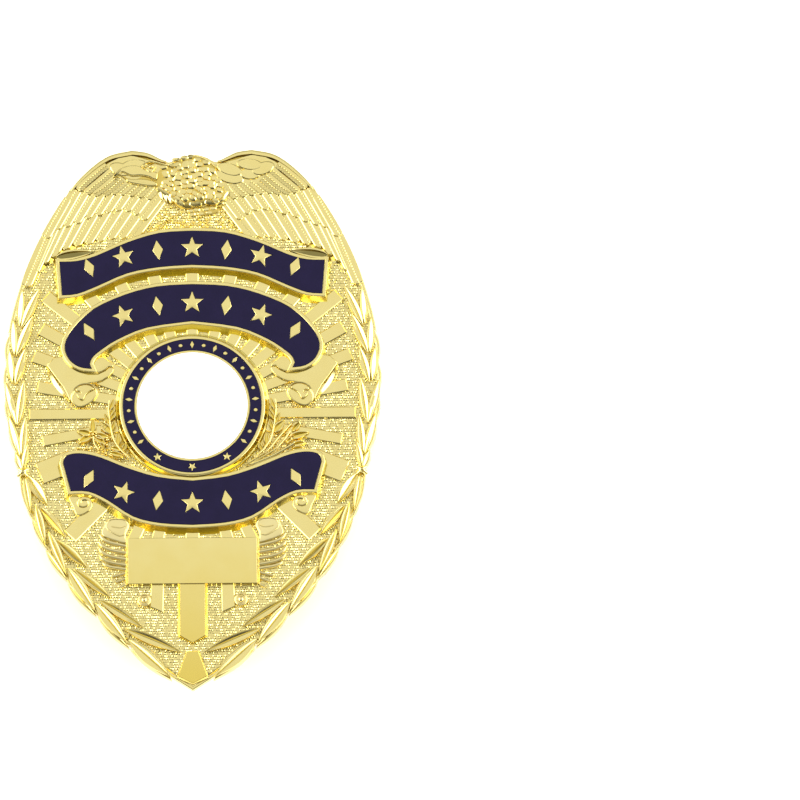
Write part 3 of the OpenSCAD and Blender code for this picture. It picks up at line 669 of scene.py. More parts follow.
def make_eagle():
    form = Form()
    form.dome(HEAD, HEAD_EDGE, HEAD_TOP, HEAD_C, 8)
    form.slab(oval((1.7, 30.95), (2.3, 0.95), 3), 1.93, 0.1)
    form.slab(np.array([(-4.9, 34.8), (-4.9, 36.3), (-8.5, 36.9), (-10.7, 36.3), (-9.4, 35.3)]), 2.5, 0.1)
    piece("eagle_ground", form, shaded)
    form = Form()
    source = np.array((-7.4, 36.2))
    inner = outset(HEAD, 0.02)
    rng = random.Random(3)
    row_step, scale_step = 0.98, 0.8
    for k, r in enumerate(np.arange(4.2, 15.2, row_step)):
        step = degrees(scale_step / r)
        for j in range(-2, int(130 / step) + 2):
            turn = 36 - (j + 0.5 * (k % 2) + rng.uniform(-0.16, 0.16)) * step
            tip = source + rot((r + rng.uniform(-0.2, 0.2), 0), turn)
            if inside([HEAD_C + (tip - HEAD_C) * 1.02], inner)[0]:
                size = rng.uniform(0.86, 1.12)
                scale(form, tip, turn * 0.75 + rng.uniform(-14, 14), 1.08 * size, 0.74 * size,
                      rise=rng.uniform(-0.02, 0.06), way=(rng.choice((0.14, 0.1, -0.1)), rng.uniform(-0.16, -0.02)))
    for x, y in BRICKS:
        scale(form, (x + 0.45, y), rng.uniform(-9, 9), 0.92, 0.46, ground=1.95, rise=0.03,
              way=(rng.choice((0.14, -0.12)), 0.04))
    for root, tip, width in NECK:
        blade(form, root, tip, width, 2.52, vee(-0.75, 0, 0.75, width, 0.6), steps=10, root=1.3, blunt=0.8, rim=0)
    piece("eagle_feathers", form, carved, 24)
    form = Form()
    form.slab(closed_spline(UPPER_BEAK, 3)[::-1], 2.92, 0.22, steps=4, base=1.3)
    form.slab(closed_spline(LOWER_BEAK, 3)[::-1], 2.7, 0.2, steps=4, base=1.3)
    brow = spline(BROW, 5)
    form.bead(np.column_stack([brow, np.linspace(2.75, 2.62, len(brow))]), thickness((0.1, 0.2, 12), (0.2, 0.07, 19)))
    form.bead(raised(spline(CHEEK, 4), 2.85), thickness((0.06, 0.13, 8), (0.13, 0.06, 9)))
    form.dome(oval((-5.85, 37.2), (0.36, 0.28), 10), 2.6, 2.98, steps=5)
    piece("eagle_face", form, carved, 50)


# ---- sprigs
# Hollow leaves and their stem on the right of the ring, which the left side mirrors: base, tip and width
SPRIG = [[(11.72, 0.77), (11.15, 2.72), 0.62], [(11.67, 0.2), (10.95, 1.75), 0.6],
    [(11.62, -0.54), (10.85, 0.85), 0.62], [(11.39, -2.03), (10.95, -0.4), 0.62],
    [(10.6, -4.5), (10.5, -2.3), 0.75], [(9.9, -5.3), (9.4, -3.8), 0.6], [(11.84, -1.1), (12.5, 0.5), 0.62],
    [(11.52, -2.49), (13.15, -0.7), 1.1]]
STEM = [(8.94, -6.11), (10.11, -5), (11.15, -3.42), (11.57, -1.84), (11.8, -0.17), (11.94, 1.14), (11.82, 2.35)]
# Buds of the right side's bundle: base, tip and width
BUDS = [[(13.73, -3.24), (16.66, -2.48), 1.05], [(14.2, -4.3), (16.12, -3.95), 0.72],
    [(14, -4.95), (16, -4.72), 0.62], [(14.17, -2.3), (15.43, -0.92), 0.85], [(13.3, -4), (14.6, -2.9), 0.6]]
# Stems of that bundle: places and thickness
BUD_STEMS = [
    ([(7.58, -7.28), (10.58, -5.22), (12.31, -3.16), (13.17, -2.2), (14.18, -1.12), (15.1, -0.85),
      (15.5, -1.3)], 0.17),
    ([(8, -7.28), (11.44, -5.23), (13.02, -3.61), (13.88, -2.35)], 0.17),
    ([(8.29, -7.29), (11.43, -5.97), (13.58, -4.73), (14.44, -4.2)], 0.25),
    ([(8.8, -7.35), (11.72, -6.2), (13.4, -5.4), (14.1, -4.95)], 0.16)]
# Leaves below and beside the flower on the left: base, tip and width
LOW_LEAVES = [[(-11.61, -4.42), (-9.7, -5.1), 0.8], [(-11.8, -5.2), (-9.68, -5.85), 0.8],
    [(-13.1, -3.42), (-12.45, -5.05), 0.55], [(-13, -2), (-12, -0.9), 0.6]]
# Beads round the flower: place and radius
BEADS = [(-12.05, -3.38, 0.27), (-12.16, -4.13, 0.2), (-11.44, -3.32, 0.15), (-14.38, -4.4, 0.16),
    (-16.21, -4.56, 0.15), (-13.33, -5.21, 0.15), (-12.3, -5.4, 0.15), (-11.5, -5.75, 0.15), (-9.51, -5.62, 0.13),
    (-15.1, -4.6, 0.12)]
FLOWER_C = np.array((-14.15, -2.6))
PETALS = [90, 166, 209, 322, 350]


def hollow_leaves(form, rows, lift, deep, widen=1):
    trough = [(-0.6, 0), (-0.48, -deep), (0, -deep * 0.9), (0.48, -deep), (0.6, 0)]
    for base, tip, width in rows:
        blade(form, base, tip, width * widen, lift, trough, steps=14, root=1.3, blunt=0.8, rim=0)


def make_sprigs():
    form = Form()

    def half():
        hollow_leaves(form, SPRIG, 2.6, 0.5, 1.2)
        stem = spline(STEM, 5)
        form.bead(raised(stem, 2.46), np.linspace(0.15, 0.09, len(stem)))
    form.both(half)
    hollow_leaves(form, BUDS, 2.48, 0.6, 1.15)
    for row, thick in BUD_STEMS:
        stem = spline(row, 8)
        form.bead(raised(stem, 2.3 + thick / 2), np.linspace(thick * 0.8, thick, len(stem)), 10)
    petals = [(FLOWER_C + rot((0.15, 0), turn), FLOWER_C + rot((2.4, 0), turn), 1.1) for turn in PETALS]
    hollow_leaves(form, petals, 2.48, 0.5)
    hollow_leaves(form, LOW_LEAVES, 2.44, 0.5)
    for turn in (45, 128, 188, 265, 336):
        form.dome(oval(FLOWER_C + rot((0.5, 0), turn), (0.22, 0.22), 0, 12), 2.1, 2.5, steps=4)
    form.dome(oval(FLOWER_C, (0.22, 0.22), 0, 12), 2.2, 2.6, steps=4)
    for x, y, r in BEADS:
        form.dome(oval((x, y), (r, r), 0, 12), 2.1, 2.2 + r, steps=4)
    form.bead(raised(spline([(-14.1, -2.9), (-13.95, -3.9), (-13.3, -4.9)], 5), 2.3), 0.1)
    form.bead(raised(spline([(-16.4, -4.7), (-14.4, -4.75), (-12.6, -5.35), (-10.6, -6.2)], 5), 2.12), 0.1)
    piece("sprigs", form, leafy_painted_shade, 60)


# ---- ribbons
def ribbon(top, bottom):
    half = np.concatenate([spline(top, 3), spline(bottom, 3)])
    return np.concatenate([half, [p for p in mirrored(half) if p[0] > 0.01]])


# Field of enamel, how far the foot shows below it, and the bow along which the ornaments stand
RIBBONS = {
    "top": (ribbon(
        [[0, 27.6], [-4.7, 27.3], [-9.3, 25.9], [-13.6, 24], [-16.4, 23.2], [-19, 23.1]],
        [[-18.6, 18.1], [-16.4, 18.3], [-13.6, 19.4], [-9.3, 21.3], [-4.7, 22.2], [0, 22.5]]), 0.4, (25.05, -0.0133)),
    "middle": (ribbon(
        [[0, 19.6], [-5, 19.3], [-9.6, 18.1], [-14, 16], [-17, 13.1], [-18.2, 10.6], [-17.6, 8.6], [-16.1, 7.4],
         [-14.3, 7.1]],
        [[-14.6, 7.8], [-14.2, 8.8], [-13.1, 9.8], [-10.7, 11.4], [-6.4, 13.2], [0, 14.1]]), 0.35, (16.85, -0.0195)),
    "bottom": (ribbon(
        [[0, -9.6], [-5, -9], [-9.4, -7.6], [-13, -6.1], [-15.3, -5.5], [-17.1, -5.5], [-18.1, -6], [-18.4, -6.9]],
        [[-17.3, -11], [-14.7, -11.1], [-12, -12.4], [-8.4, -14.8], [-4.6, -15.8], [0, -16.1]]),
        0.4, (-12.9, 0.0172))}


ORNAMENT_STEP = 4.9


def star(c, r, turn):
    return np.array([c + rot((0, r if i % 2 == 0 else 0.42 * r), turn + 36 * i) for i in range(10)])


def lozenge(c, w, h, turn):
    return np.array([c + rot(np.array(p) / 2, turn) for p in ((w, 0), (0, h), (-w, 0), (0, -h))])


def ornaments():
    """Stars and lozenges in turn along each ribbon, in place of its words."""
    for _, _, (height, rise) in RIBBONS.values():
        for i in range(-3, 4):
            x = i * ORNAMENT_STEP
            c = np.array((x, height + rise * x * x))
            turn = degrees(atan(2 * rise * x))
            yield star(c, 1.7, turn) if i % 2 == 0 else lozenge(c, 1.5, 3, turn)


def make_ribbons():
    top, deep = RIBBON + LIP, RIBBON - ENAMEL_D
    for name, (field, draft, _) in RIBBONS.items():
        form = Form()
        foot = outset(field, BORDER + 0.35) - (0, draft)
        rings = [raised(foot, FLOOR), raised(foot, 1.5)]
        rings += [raised(outset(field, BORDER - 0.13 * x), top - 0.13 * z) for x, z in quarter(3)]
        rings += [raised(outset(field, out), z) for out, z in ((0.06, top), (0.01, top - 0.05), (0.01, deep))]
        form.loft(rings)
        piece(f"ribbon_{name}", form, ringed_painted_reflection, 35)
    form = Form()
    for outline in ornaments():
        form.slab(outline, top, 0.07, base=deep - 0.1)
    piece("ribbon_ornaments", form, polished, 45)


TAIL = [(-20.77, 7.81), (-19.72, 8.88), (-18.19, 9.2), (-17.3, 7.9), (-16.83, 7.3), (-16.03, 6.75), (-14.82, 6.4),
    (-13.44, 6.42), (-12.39, 6.95), (-11.86, 7.38), (-11.4, 7.45), (-11.15, 7.1), (-11.3, 6.65), (-11.99, 5.95),
    (-12.8, 5.42), (-13.61, 5.14), (-14.42, 5.05), (-15.23, 4.92), (-16.04, 4.6), (-16.61, 4.05), (-16.94, 3.38),
    (-17.11, 2.6), (-17.35, 2.46), (-17.55, 2.63), (-17.91, 3.56), (-18.46, 4.57), (-19.58, 6.1)][::-1]
CRESCENT_OUT = [(-20.8, 7.85), (-20.66, 7.05), (-20.31, 6.03), (-19.75, 4.85), (-19.03, 3.92), (-18.23, 3.1),
    (-17.45, 2.4)]
CRESCENT_IN = [(-20.73, 7.9), (-20.3, 7), (-19.75, 6.1), (-19.2, 5.2), (-18.6, 4.3), (-18.05, 3.4), (-17.42, 2.42)]
HOOK = [(-14.08, 7.67), (-13.91, 8.26), (-13.35, 8.76), (-12.7, 8.88), (-11.98, 8.33), (-11.41, 7.82),
    (-11.24, 7.31), (-11.86, 7.44), (-12.39, 6.98), (-13.44, 6.53), (-13.92, 6.99)][::-1]
ROLL = [(-16.4, 4.4), (-16.94, 3.62), (-17.06, 2.86), (-16.79, 2.19), (-16.22, 1.76), (-15.5, 1.84),
    (-14.6, 2.34), (-14.03, 3.01), (-13.72, 3.68), (-13.86, 4.1), (-14.42, 4.69), (-15.23, 4.83), (-15.88, 4.71)]
TONGUE = [(-16.53, 4.29), (-15.55, 4.79), (-14.59, 4.7), (-13.98, 4.2), (-14.27, 3.98), (-14.84, 3.64),
    (-15.24, 3.2), (-15.45, 2.68), (-15.8, 2.55), (-16.2, 2.85), (-16.5, 3.3), (-16.3, 3.5), (-16, 3.35),
    (-15.85, 3.6), (-16.15, 3.85), (-16.55, 3.8)][::-1]
LOW_ROLL = [(-17.6, -11.7), (-16.2, -11.4), (-15, -11.5), (-14.4, -12.1), (-14.2, -13.1), (-14.9, -14),
    (-16.35, -14.5), (-17, -13.1)][::-1]


def strip(form, left, right, profile, ends=0.3):
    """A band between two paths, with heights across it given from the left path to the right."""
    left, right = spline(left, 4), spline(right, 4)
    rows = []
    for i, (a, b) in enumerate(zip(left, right)):
        t = i / (len(left) - 1)
        swell = 0.6 + 0.4 * sin(pi * min(max(t, 0.02), 0.98)) ** ends
        rows.append([(*(a + (b - a) * s), FLOOR + (z - FLOOR) * swell) for s, z in profile])
    form.sheet(np.array(rows))


def curl(form, centre, radii, turn, lift):
    """A raised edge that winds inward along an oval."""
    path = []
    for t in np.linspace(0, 1, 44):
        a, share = radians(100 + 432 * t), 0.93 * (1 - 0.62 * t)
        path.append(rot((radii[0] * share * cos(a), radii[1] * share * sin(a)), turn) + centre)
    form.bead(raised(path, lift), thickness((0.05, 0.15, 8), (0.15, 0.15, 28), (0.15, 0.07, 8)))


def make_tails():
    form = Form()

    def half():
        form.slab(TAIL, 2.15, 0.16, steps=3)
        strip(form, CRESCENT_OUT, CRESCENT_IN, [(0, 1.5), (0.06, 1.88), (0.8, 2.24), (0.87, 2.24), (1, 1.9)])
        form.slab(closed_spline(HOOK, 2), 2.3, 0.14, steps=3)
        roll = closed_spline(ROLL, 3)[::-1]
        form.slab(roll, 1.9, 0.14, steps=3)
        rim = outset(roll, -0.14)
        form.bead(raised(np.concatenate([rim[::-1], rim[-3:][::-1]]), 2.08), 0.15)
        form.slab(closed_spline(TONGUE, 2), 2.3, 0.12, steps=3)
        form.slab(closed_spline(LOW_ROLL, 3), 2.05, 0.15, steps=3)
        curl(form, (-15.4, -12.6), (1.05, 0.9), 10, 2.1)
    form.both(half)
    piece("ribbon_ends", form, polished, 32)
    form = Form()
    hollow = [(-0.62, 0), (-0.45, -0.55), (0.4, -0.45), (0.58, 0)]
    form.both(lambda: blade(form, (-19.5, 23.85), (-13.9, 24.6), 1.6, 2.62, hollow, blunt=0.7, root=1.3, rim=0))
    piece("ribbon_rolls", form, rolled_painted_shade, 32)


# ---- ring
def ring_marks():
    """Stars at the ring's foot, then lozenges and dots in turn round the rest of it."""
    middle = (BAND_IN + BAND_OUT) / 2
    for turn in (-123, -90, -57):
        yield star(RING_C + rot((middle, 0), turn), 0.66, turn - 90)
    count, first, sweep = 25, -36, 252
    for i in range(count):
        turn = first + sweep * i / (count - 1)
        c = RING_C + rot((middle, 0), turn)
        yield lozenge(c, 0.55, 1.15, turn - 90) if i % 2 == 0 else oval(c, (0.26, 0.26), 0, 12)


def make_ring():
    top, deep = RING + LIP, RING - ENAMEL_D

    def lip(r, side):
        return [(r + side * 0.05, top), (r + side * 0.01, top - 0.04), (r + side * 0.01, deep)]
    form = Form()
    profile = [(RING_LEDGE_R + 0.1, FLOOR), (RING_LEDGE_R + 0.1, 1.7), (RING_LEDGE_R, 2), (RING_LEDGE_R - 0.08, 2.05),
               (RIM_R + 0.34, 2.05), (RIM_R + 0.3, 2.08), (RIM_R, top - 0.16), (RIM_R - 0.04, top - 0.05),
               (RIM_R - 0.13, top)]
    form.turned(profile + lip(BAND_OUT, 1) + lip(BAND_IN, -1)[::-1] + lip(DISC_R, 1), RING_C, 160)
    piece("ring_rim", form, ringed_painted_reflection, 45)
    form = Form()
    for outline in ring_marks():
        form.slab(outline, top, 0.05, base=deep - 0.1)
    piece("ring_marks", form, polished, 45)


# ---- name plate and what stands by it
BAR = [(2.1, -24), (-2.1, -24), (-2.1, -32.3), (0, -33.4), (2.1, -32.3)]
POINT = [(-0.95, -34.4), (-2.25, -38.25), (0, -39.35), (2.25, -38.25), (0.95, -34.4)]
RIBS = [[[-13.15, -17.3], [-12.7, -17.85], [-11.7, -18.4], [-9.4, -18.95]],
        [[-13.2, -18.35], [-12.9, -18.8], [-11.7, -19.45], [-9.4, -19.95]],
        [[-13.2, -19.25], [-12.9, -19.75], [-11.7, -20.4], [-9.4, -20.9]],
        [[-13.1, -20.3], [-12.8, -20.75], [-11.7, -21.3], [-9.4, -21.75]],
        [[-12.7, -21.4], [-12.3, -21.75], [-11.4, -22.05], [-9.4, -22.35]]]
SHORT_RIBS = [[[-11.4, -23.44], [-9.4, -22.9]], [[-10.9, -24.25], [-9.4, -23.7]], [[-10.3, -25.05], [-9.4, -24.5]]]
BOWL = [(-12.51, -15.93), (-12.39, -15.49), (-11.84, -15.05), (-10.86, -14.84), (-9.83, -14.94), (-9.16, -15.33),
    (-8.92, -15.77), (-8.99, -16.28), (-9.3, -16.91), (-9.5, -17.67), (-9.45, -18.6), (-10.77, -18.25),
    (-11.86, -17.9), (-12.75, -17.4), (-12.9, -16.8)][::-1]
BOWL_RIM = [(-12.3, -16), (-12.1, -15.45), (-11.6, -15.1), (-10.8, -14.98), (-9.85, -15.1), (-9.25, -15.5),
    (-9.1, -15.95), (-9.4, -16.6), (-9.7, -17.3), (-10.4, -17.5), (-11.3, -17.05), (-12, -16.5)]
BOWL_LIP = [(-11.5, -16.1), (-10.9, -16.25), (-10.2, -16.3), (-9.5, -16.05)]
NAME_PLATE = [(-9.5, -24.7), (9.5, -24.7), (9.5, -17.9), (-9.5, -17.9)]
BOSS_C = np.array((-6.85, -26.95))


def make_name_plate():
    form = Form()
    for outline, top, drafts in ((NAME_PLATE, 2.2, (0.34, 0.03)), (BAR, 1.95, (0.3, 0.1)),
                                 (POINT, 1.95, (0.16, 0.1))):
        foot = np.array(outline, float)
        off = foot - foot.mean(0)
        flat = foot - np.array(drafts) * np.sign(off) * (abs(off) > 0.5)
        form.loft([raised(foot, FLOOR), raised(foot, top - 0.42), raised(flat, top - 0.04),
                   raised(outset(flat, -0.05), top)])
    piece("name_plate", form, shaded_towards_foot, 20)
    form = Form()

    def half():
        for row in RIBS:
            path = spline(row, 5)
            form.bead(raised(path, 1.62), thickness((0.16, 0.27, 6), (0.27, 0.27, len(path) - 6)), 10)
        for row in SHORT_RIBS:
            form.bead(raised(spline(row, 6), 1.62), 0.2)
        form.slab(closed_spline(BOWL, 2), 1.9, 0.15, steps=3)
        rim = closed_spline(BOWL_RIM, 3)
        form.bead(raised(np.concatenate([rim, rim[:3]]), 1.92), 0.11)
        form.bead(raised(spline(BOWL_LIP, 5), 1.9), 0.08)
        form.slab(oval(BOSS_C, (0.75, 0.75), 0, 20), 1.8, 0.05)
        form.dome(oval(BOSS_C, (0.46, 0.46), 0, 20), 1.85, 2.25)
        rim = [(0.8 + 0.17 * cos(a), 1.78 + 0.2 * sin(a)) for a in np.arange(8) * pi / 4]
        form.turned(rim, BOSS_C, 28, closed=True)
    form.both(half)
    piece("ribs_and_bosses", form, soft, 60)


# ---- stippled field
def covered():
    """Outlines of the shapes that stand on the field."""
    out = [outset(o, -0.15) for o in ray_outlines()]
    out += [outset(field, BORDER - 0.1) for field, _, _ in RIBBONS.values()]
    out += [oval(RING_C, (RING_LEDGE_R - 0.1,) * 2, 0, 64), outset(np.array(NAME_PLATE), -0.1), outset(BAR, -0.15),
            outset(POINT, -0.15), outset(TAIL, -0.1), mirrored(outset(TAIL, -0.1)), outset(HEAD, -0.3),
            outset(BOWL, -0.2), mirrored(outset(BOWL, -0.2))]
    wing = np.array([(-24.5, 19.4), (-21.6, 22.4), (-18.2, 24.6), (-14.4, 26.2), (-10.6, 28.4), (-6.2, 30.6),
                     (-5, 34), (-3, 38.6), (-8.4, 39.8), (-13, 38.6), (-17, 34.6), (-21, 29)])
    return out + [wing, mirrored(wing)]


def make_stipple():
    """Low six-sided bumps side by side, coarser and with lumps behind the eagle's head."""
    pitch, row_h, jitter = 0.34, 0.38, 0.07
    rng = random.Random(11)
    plate = outset(OUTLINE, -0.62)
    lo, hi = plate.min(0), plate.max(0)
    ni, nj = ((hi - lo) / (pitch, row_h)).astype(int) + 3
    centres = {(i, j): (lo[0] + (i + 0.5 * (j % 2)) * pitch + rng.uniform(-jitter, jitter),
                        lo[1] + j * row_h + rng.uniform(-jitter, jitter))
               for i in range(-1, ni) for j in range(-1, nj)}
    keys = list(centres)
    points = np.array([centres[k] for k in keys])
    keep = inside(points, plate)
    for outline in covered():
        keep &= ~inside(points, outline)
    verts, faces, corners, used, lumps = [], [], {}, {}, []

    def level(y):
        return FIELD + 0.3 * min(max((y - 23) / 2.5, 0), 1)

    def corner(cells, top):
        key = (frozenset(cells), top)
        if key not in corners:
            corners[key] = len(verts)
            place = np.mean([centres[c] for c in cells], 0)
            verts.append((*place, level(place[1]) if top else FLOOR))
        return corners[key]

    for (i, j), kept in zip(keys, keep):
        x, y = centres[(i, j)]
        right, left = i + j % 2, i - 1 + j % 2
        around = [(i + 1, j), (right, j + 1), (left, j + 1), (i - 1, j), (left, j - 1), (right, j - 1)]
        if not kept or any(c not in centres for c in around):
            continue
        pairs = [((i, j), a, b) for a, b in zip(around, around[1:] + around[:1])]
        coarse = abs(x) < 9 and 26 < y < 32
        high = level(y) + rng.uniform(0.035, 0.085) * (rng.uniform(0.6, 2.9) if coarse else 1)
        if coarse and rng.random() < 0.34:
            lumps.append(((x, y), rng.uniform(0.2, 0.36), level(y) + rng.uniform(0.12, 0.3)))
        rim = [corner(p, True) for p in pairs]
        foot = [corner(p, False) for p in pairs]
        apex = len(verts)
        verts.append((x, y, high))
        for k in range(6):
            n = (k + 1) % 6
            faces.append((apex, rim[k], rim[n]))
            used.setdefault(frozenset((rim[k], rim[n])), []).append((rim[k], rim[n], foot[k], foot[n]))
        faces.append(foot[::-1])
    for sides in used.values():
        if len(sides) == 1:
            a, b, fa, fb = sides[0]
            faces.append((b, a, fa, fb))
    form = Form()
    form.add(verts, faces)
    for c, r, top in lumps:
        form.dome(oval(c, (r, 0.9 * r), 0, 8), level(c[1]) - 0.1, top, steps=3)
    piece("stippled_field", form, stippled, 3)


# ---- hinge and catch
def eased_box(form, lo, hi):
    (x0, y0, z0), (x1, y1, z1) = lo, hi
    outline = np.array([(x0, y0), (x1, y0), (x1, y1), (x0, y1)])
    form.loft([raised(outset(outline, -0.12 * z), z0 + 0.12 * x) for x, z in quarter(2)] + [raised(outline, z1)])


def make_bracket():
    form = Form(0)
    front, rear_end = HINGE_Y + HINGE_Z, HINGE_Y - 4.3      # the ears reach as far forward as they stand high
    # the plate ends 0.02 before the ears, so that no two walls lie in one plane
    eased_box(form, (-3.5, rear_end, BACK - SOLE), (3.5, front - 0.02, BACK + SUNK))
    ear = [(HINGE_Y + HINGE_Z * cos(a), HINGE_Z + HINGE_Z * sin(a)) for a in np.radians(np.arange(0, -136, -7.5))]
    ear = np.array([(front, BACK)] + ear + [(rear_end, BACK)])
    sweep = np.radians(np.linspace(90, -270, len(ear) + 1)[:-1])
    hole = [(HINGE_Y + HOLE_R * cos(a), HINGE_Z + HOLE_R * sin(a)) for a in sweep]
    eased = outset(ear[::-1], -0.12)[::-1]
    loops = (ear, 1.52), (eased, 1.4), (hole, 1.4), (hole, 2.7), (eased, 2.7), (ear, 2.58)
    for side in (-1, 1):
        form.loft([[(side * x, y, z) for y, z in loop] for loop, x in loops], closed=True)
    piece("hinge_bracket", form, rear, 40)


def tube_part(form, inner, outer, start, stop, y0, y1, bevel=0.1):
    """A stretch of an open tube along the catch's axis, from angle start to stop, with eased edges."""
    sweep = np.radians(np.linspace(start, stop, 36))
    section = np.array([(r * cos(a), r * sin(a)) for r, way in ((outer, 1), (inner, -1)) for a in sweep[::way]])
    steps = [(0, 1), (0.3, 0.3), (1, 0)]
    rings = [(y0 + bevel * s, bevel * off) for s, off in steps]
    rings += [(y1 - bevel * s, bevel * off) for s, off in steps[::-1]]
    form.loft([[(x, CATCH_Y + y, CATCH_Z + z) for x, z in outset(section, -off)] for y, off in rings])


def make_catch():
    form = Form(0)
    eased_box(form, (-4, CATCH_Y - 2.5, BACK - SOLE), (4, CATCH_Y + 2.5, BACK + SUNK))
    mouth, lever = (degrees(asin(w / 2 / HOUSING_R)) for w in (SLOT_W, LEVER_GAP))
    half, cheek = HOUSING_L / 2, LEVER_GAP / 2
    for y0, y1 in ((-half, -cheek), (cheek, half)):
        tube_part(form, HOUSING_IN, HOUSING_R, -90 + mouth, 270 - mouth, y0, y1)
    tube_part(form, HOUSING_IN, HOUSING_R, lever, 270 - mouth, -cheek - 0.1, cheek + 0.1, bevel=0.02)
    piece("catch_housing", form, rear, 40)
    form = Form(0)
    mouth = degrees(asin(SLOT_W / 2 / SLEEVE_R))
    tube_part(form, SLEEVE_BORE, SLEEVE_R, -90 + mouth, 270 - mouth, -half, half, bevel=0.12)
    form.loft([hoop(x, CATCH_Y, CATCH_Z, r) for x, r in LEVER])
    piece("sleeve_and_lever", form, drawn, 40, "sleeve", "catch_sleeve")


# Distance along the lever with its knob, and radius there
LEVER = [(1.4, 0.45), (3.9, 0.45), (4.2, 0.4), (4.34, 0.3), (4.38, 0.22), (4.42, 0.3), (4.5, 0.42), (4.65, 0.55),
    (4.85, 0.63), (5, 0.65), (5.2, 0.62), (5.4, 0.5), (5.55, 0.33), (5.64, 0.1)]
# The same for the wire's cut end above the hinge, from the rivet back, for the point, and for half of the rivet
WIRE_END = [(6, 0.5), (5.97, 0.66), (5.88, 0.77), (5.75, WIRE_R), (4, WIRE_R), (2, WIRE_R)]
POINTED = [(0, WIRE_R), (1.7, 0.75), (3.4, 0.68), (4.4, 0.46), (5.2, 0.27), (5.65, 0.16), (POINT_L - 0.03, 0.08)]
RIVET = [(3.13, 0.35), (3.1, 0.62), (3.01, 0.84), (2.85, 0.97), (2.75, 1), (2.73, 0.96), (2.73, RIVET_R)]


def make_pin():
    loop_r = RIVET_R + WIRE_R + PLAY
    level = 5       # the wire runs level so far from the rivet, then slopes to the catch
    reach = HINGE_Y - CATCH_Y - level
    lean = atan((HINGE_DROP + loop_r - CATCH_DROP) / reach)
    path = [(HINGE_Y - s, HINGE_Z + loop_r, r) for s, r in WIRE_END]
    path += [(HINGE_Y + loop_r * sin(a), HINGE_Z + loop_r * cos(a), WIRE_R) for a in np.radians(np.arange(0, 181, 9))]
    path += [(HINGE_Y - s, HINGE_Z - loop_r, WIRE_R) for s in (1.5, 3, 4.3)]
    bend, way = np.array((HINGE_Y - level, HINGE_Z - loop_r)), np.array((-cos(lean), sin(lean)))
    shaft = (reach - HOUSING_L / 2) / cos(lean)
    rows = [(s, WIRE_R) for s in (0, 0.7, *np.linspace(3, shaft - 1, 12))] + [(shaft + s, r) for s, r in POINTED]
    path = np.array(path + [(*(bend + way * s), r) for s, r in rows])
    rings = []
    for (y, z, r), (wy, wz) in zip(path, np.gradient(path[:, :2], axis=0)):
        n = hypot(wy, wz)
        rings.append([(c, y - wz / n * s, z + wy / n * s) for _, c, s in hoop(0, 0, 0, r)])
    form = Form(0)
    form.loft(rings)
    piece("pin", form, drawn, 40, "pin", "pin_wire")
    form = Form(0)
    form.loft([hoop(x, HINGE_Y, HINGE_Z, r, 28) for x, r in RIVET + [(-x, r) for x, r in RIVET[::-1]]])
    piece("rivet", form, drawn, 35, "badge", "hinge_rivet")


for make in (make_plate, make_rays, make_laurel, make_wings, make_eagle, make_sprigs, make_ribbons, make_tails,
             make_ring, make_name_plate, make_stipple, make_bracket, make_catch, make_pin):
    make()

for node, look in (("ribbon_enamel_top", navy), ("ribbon_enamel_middle", navy), ("ribbon_enamel_bottom", navy),
                   ("ring_enamel", navy), ("centre_disc", white)):
    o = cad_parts[node]
    for material_slot in o.material_slots:
        material_slot.material = look

# ---- floor, light and camera
floor_mesh = bpy.data.meshes.new("floor")
floor_mesh.from_pydata([(-3, -3, 0), (3, -3, 0), (3, 3, 0), (-3, 3, 0)], [], [(0, 1, 2, 3)])
floor = bpy.data.objects.new("floor", floor_mesh)
bpy.context.scene.collection.objects.link(floor)
paper, tree, bsdf = material("paper", Roughness=0.9, Specular_IOR_Level=0.1)
tree.links.new(greys(tree, noise(tree, 0.02, 3), (0.3, 0.95), (0.7, 0.97)), bsdf.inputs["Base Color"])
# The floor is see-through from below
under = linked(tree, "ShaderNodeMixShader",
               {0: linked(tree, "ShaderNodeNewGeometry", {}).outputs["Backfacing"], 1: bsdf.outputs[0],
                2: linked(tree, "ShaderNodeBsdfTransparent", {}).outputs[0]})
tree.links.new(under.outputs[0], tree.nodes["Material Output"].inputs["Surface"])
floor_mesh.materials.append(paper)

scene = bpy.context.scene
scene.view_settings.view_transform = "Standard"
world = bpy.data.worlds.new("studio")
world.use_nodes = True
scene.world = world
tree = world.node_tree
split = linked(tree, "ShaderNodeSeparateXYZ", {0: linked(tree, "ShaderNodeTexCoord", {}).outputs["Generated"]})


def calc(operation, *values):
    return linked(tree, "ShaderNodeMath", dict(enumerate(values)), operation=operation).outputs[0]


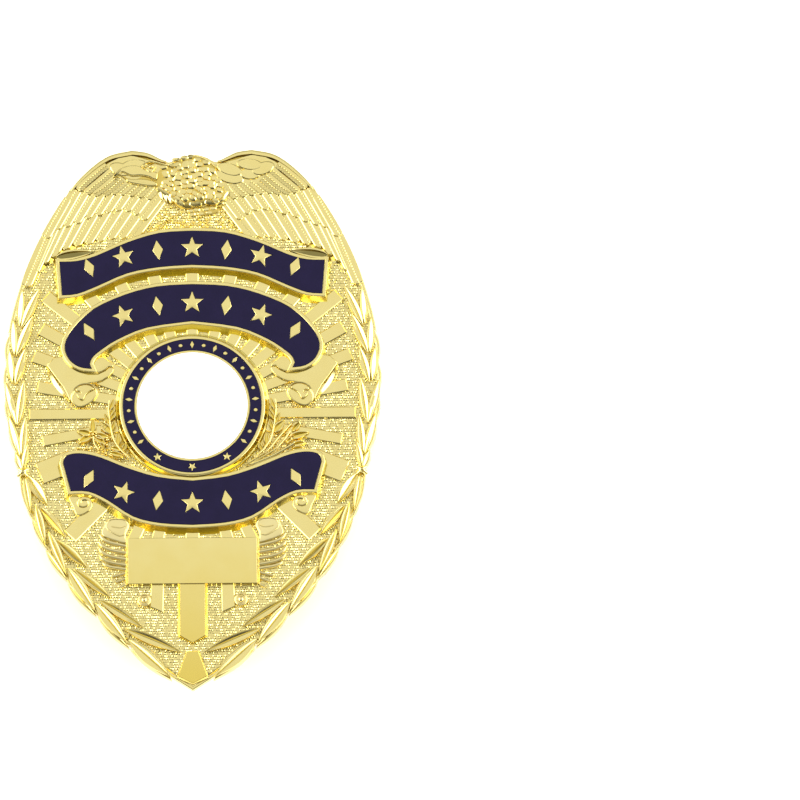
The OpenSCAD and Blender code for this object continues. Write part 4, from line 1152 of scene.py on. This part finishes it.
# A soft sky that is darker low down and in front, a bright strip on each side, and a low light ahead
x, y, z = (split.outputs[axis] for axis in "XYZ")
depth = calc("MULTIPLY_ADD", y, 0.5, 0.5)
height = greys(tree, z, (0, 0.12), (0.15, 0.25), (0.4, 0.6), (0.65, 0.86), (0.85, 1))
sky = calc("MULTIPLY", calc("MULTIPLY", height, greys(tree, depth, (0.2, 0.11), (0.36, 0.28), (0.52, 1))), 0.97)
strips = calc("MULTIPLY", greys(tree, calc("ABSOLUTE", x), (0.64, 0), (0.74, 1), (0.93, 1), (0.98, 0.2)),
              greys(tree, depth, (0.14, 0), (0.26, 1)))
strips = calc("MULTIPLY", strips, calc("MULTIPLY", greys(tree, z, (0.06, 0), (0.2, 1)), 4.4))
ahead = calc("MULTIPLY", greys(tree, calc("MULTIPLY", y, -1), (0.72, 0), (0.84, 1)),
             greys(tree, z, (0.34, 0.9), (0.44, 0)))
light = calc("ADD", calc("ADD", sky, strips), ahead)
ray = linked(tree, "ShaderNodeLightPath", {}).outputs
light = calc("MULTIPLY", light, calc("MULTIPLY_ADD", ray["Is Diffuse Ray"], 1.2, 1))
shown = linked(tree, "ShaderNodeMix", {0: ray["Is Camera Ray"], 2: light, 3: 0.95}, data_type="FLOAT")
tree.links.new(shown.outputs[0], tree.nodes["Background"].inputs["Color"])

ELEVATION = 73.5
DISTANCE = 1.4
AIM = Vector((0.02957, 0.00258, 0.0072))
TILT = 0.44
SENSOR = 36             # mm
VIEW_W = 0.114          # width of the view at the aim, in metres
camera = bpy.data.objects.new("camera", bpy.data.cameras.new("camera"))
scene.collection.objects.link(camera)
e = radians(ELEVATION)
camera.location = AIM + Vector((0, -cos(e), sin(e))) * DISTANCE
camera.rotation_euler = (pi / 2 - e, 0, 0)
camera.rotation_euler.rotate_axis("Z", radians(-TILT))
camera.data.sensor_width = SENSOR
camera.data.lens = SENSOR * DISTANCE / VIEW_W
camera.data.clip_start, camera.data.clip_end = 0.05, 20
scene.camera = camera
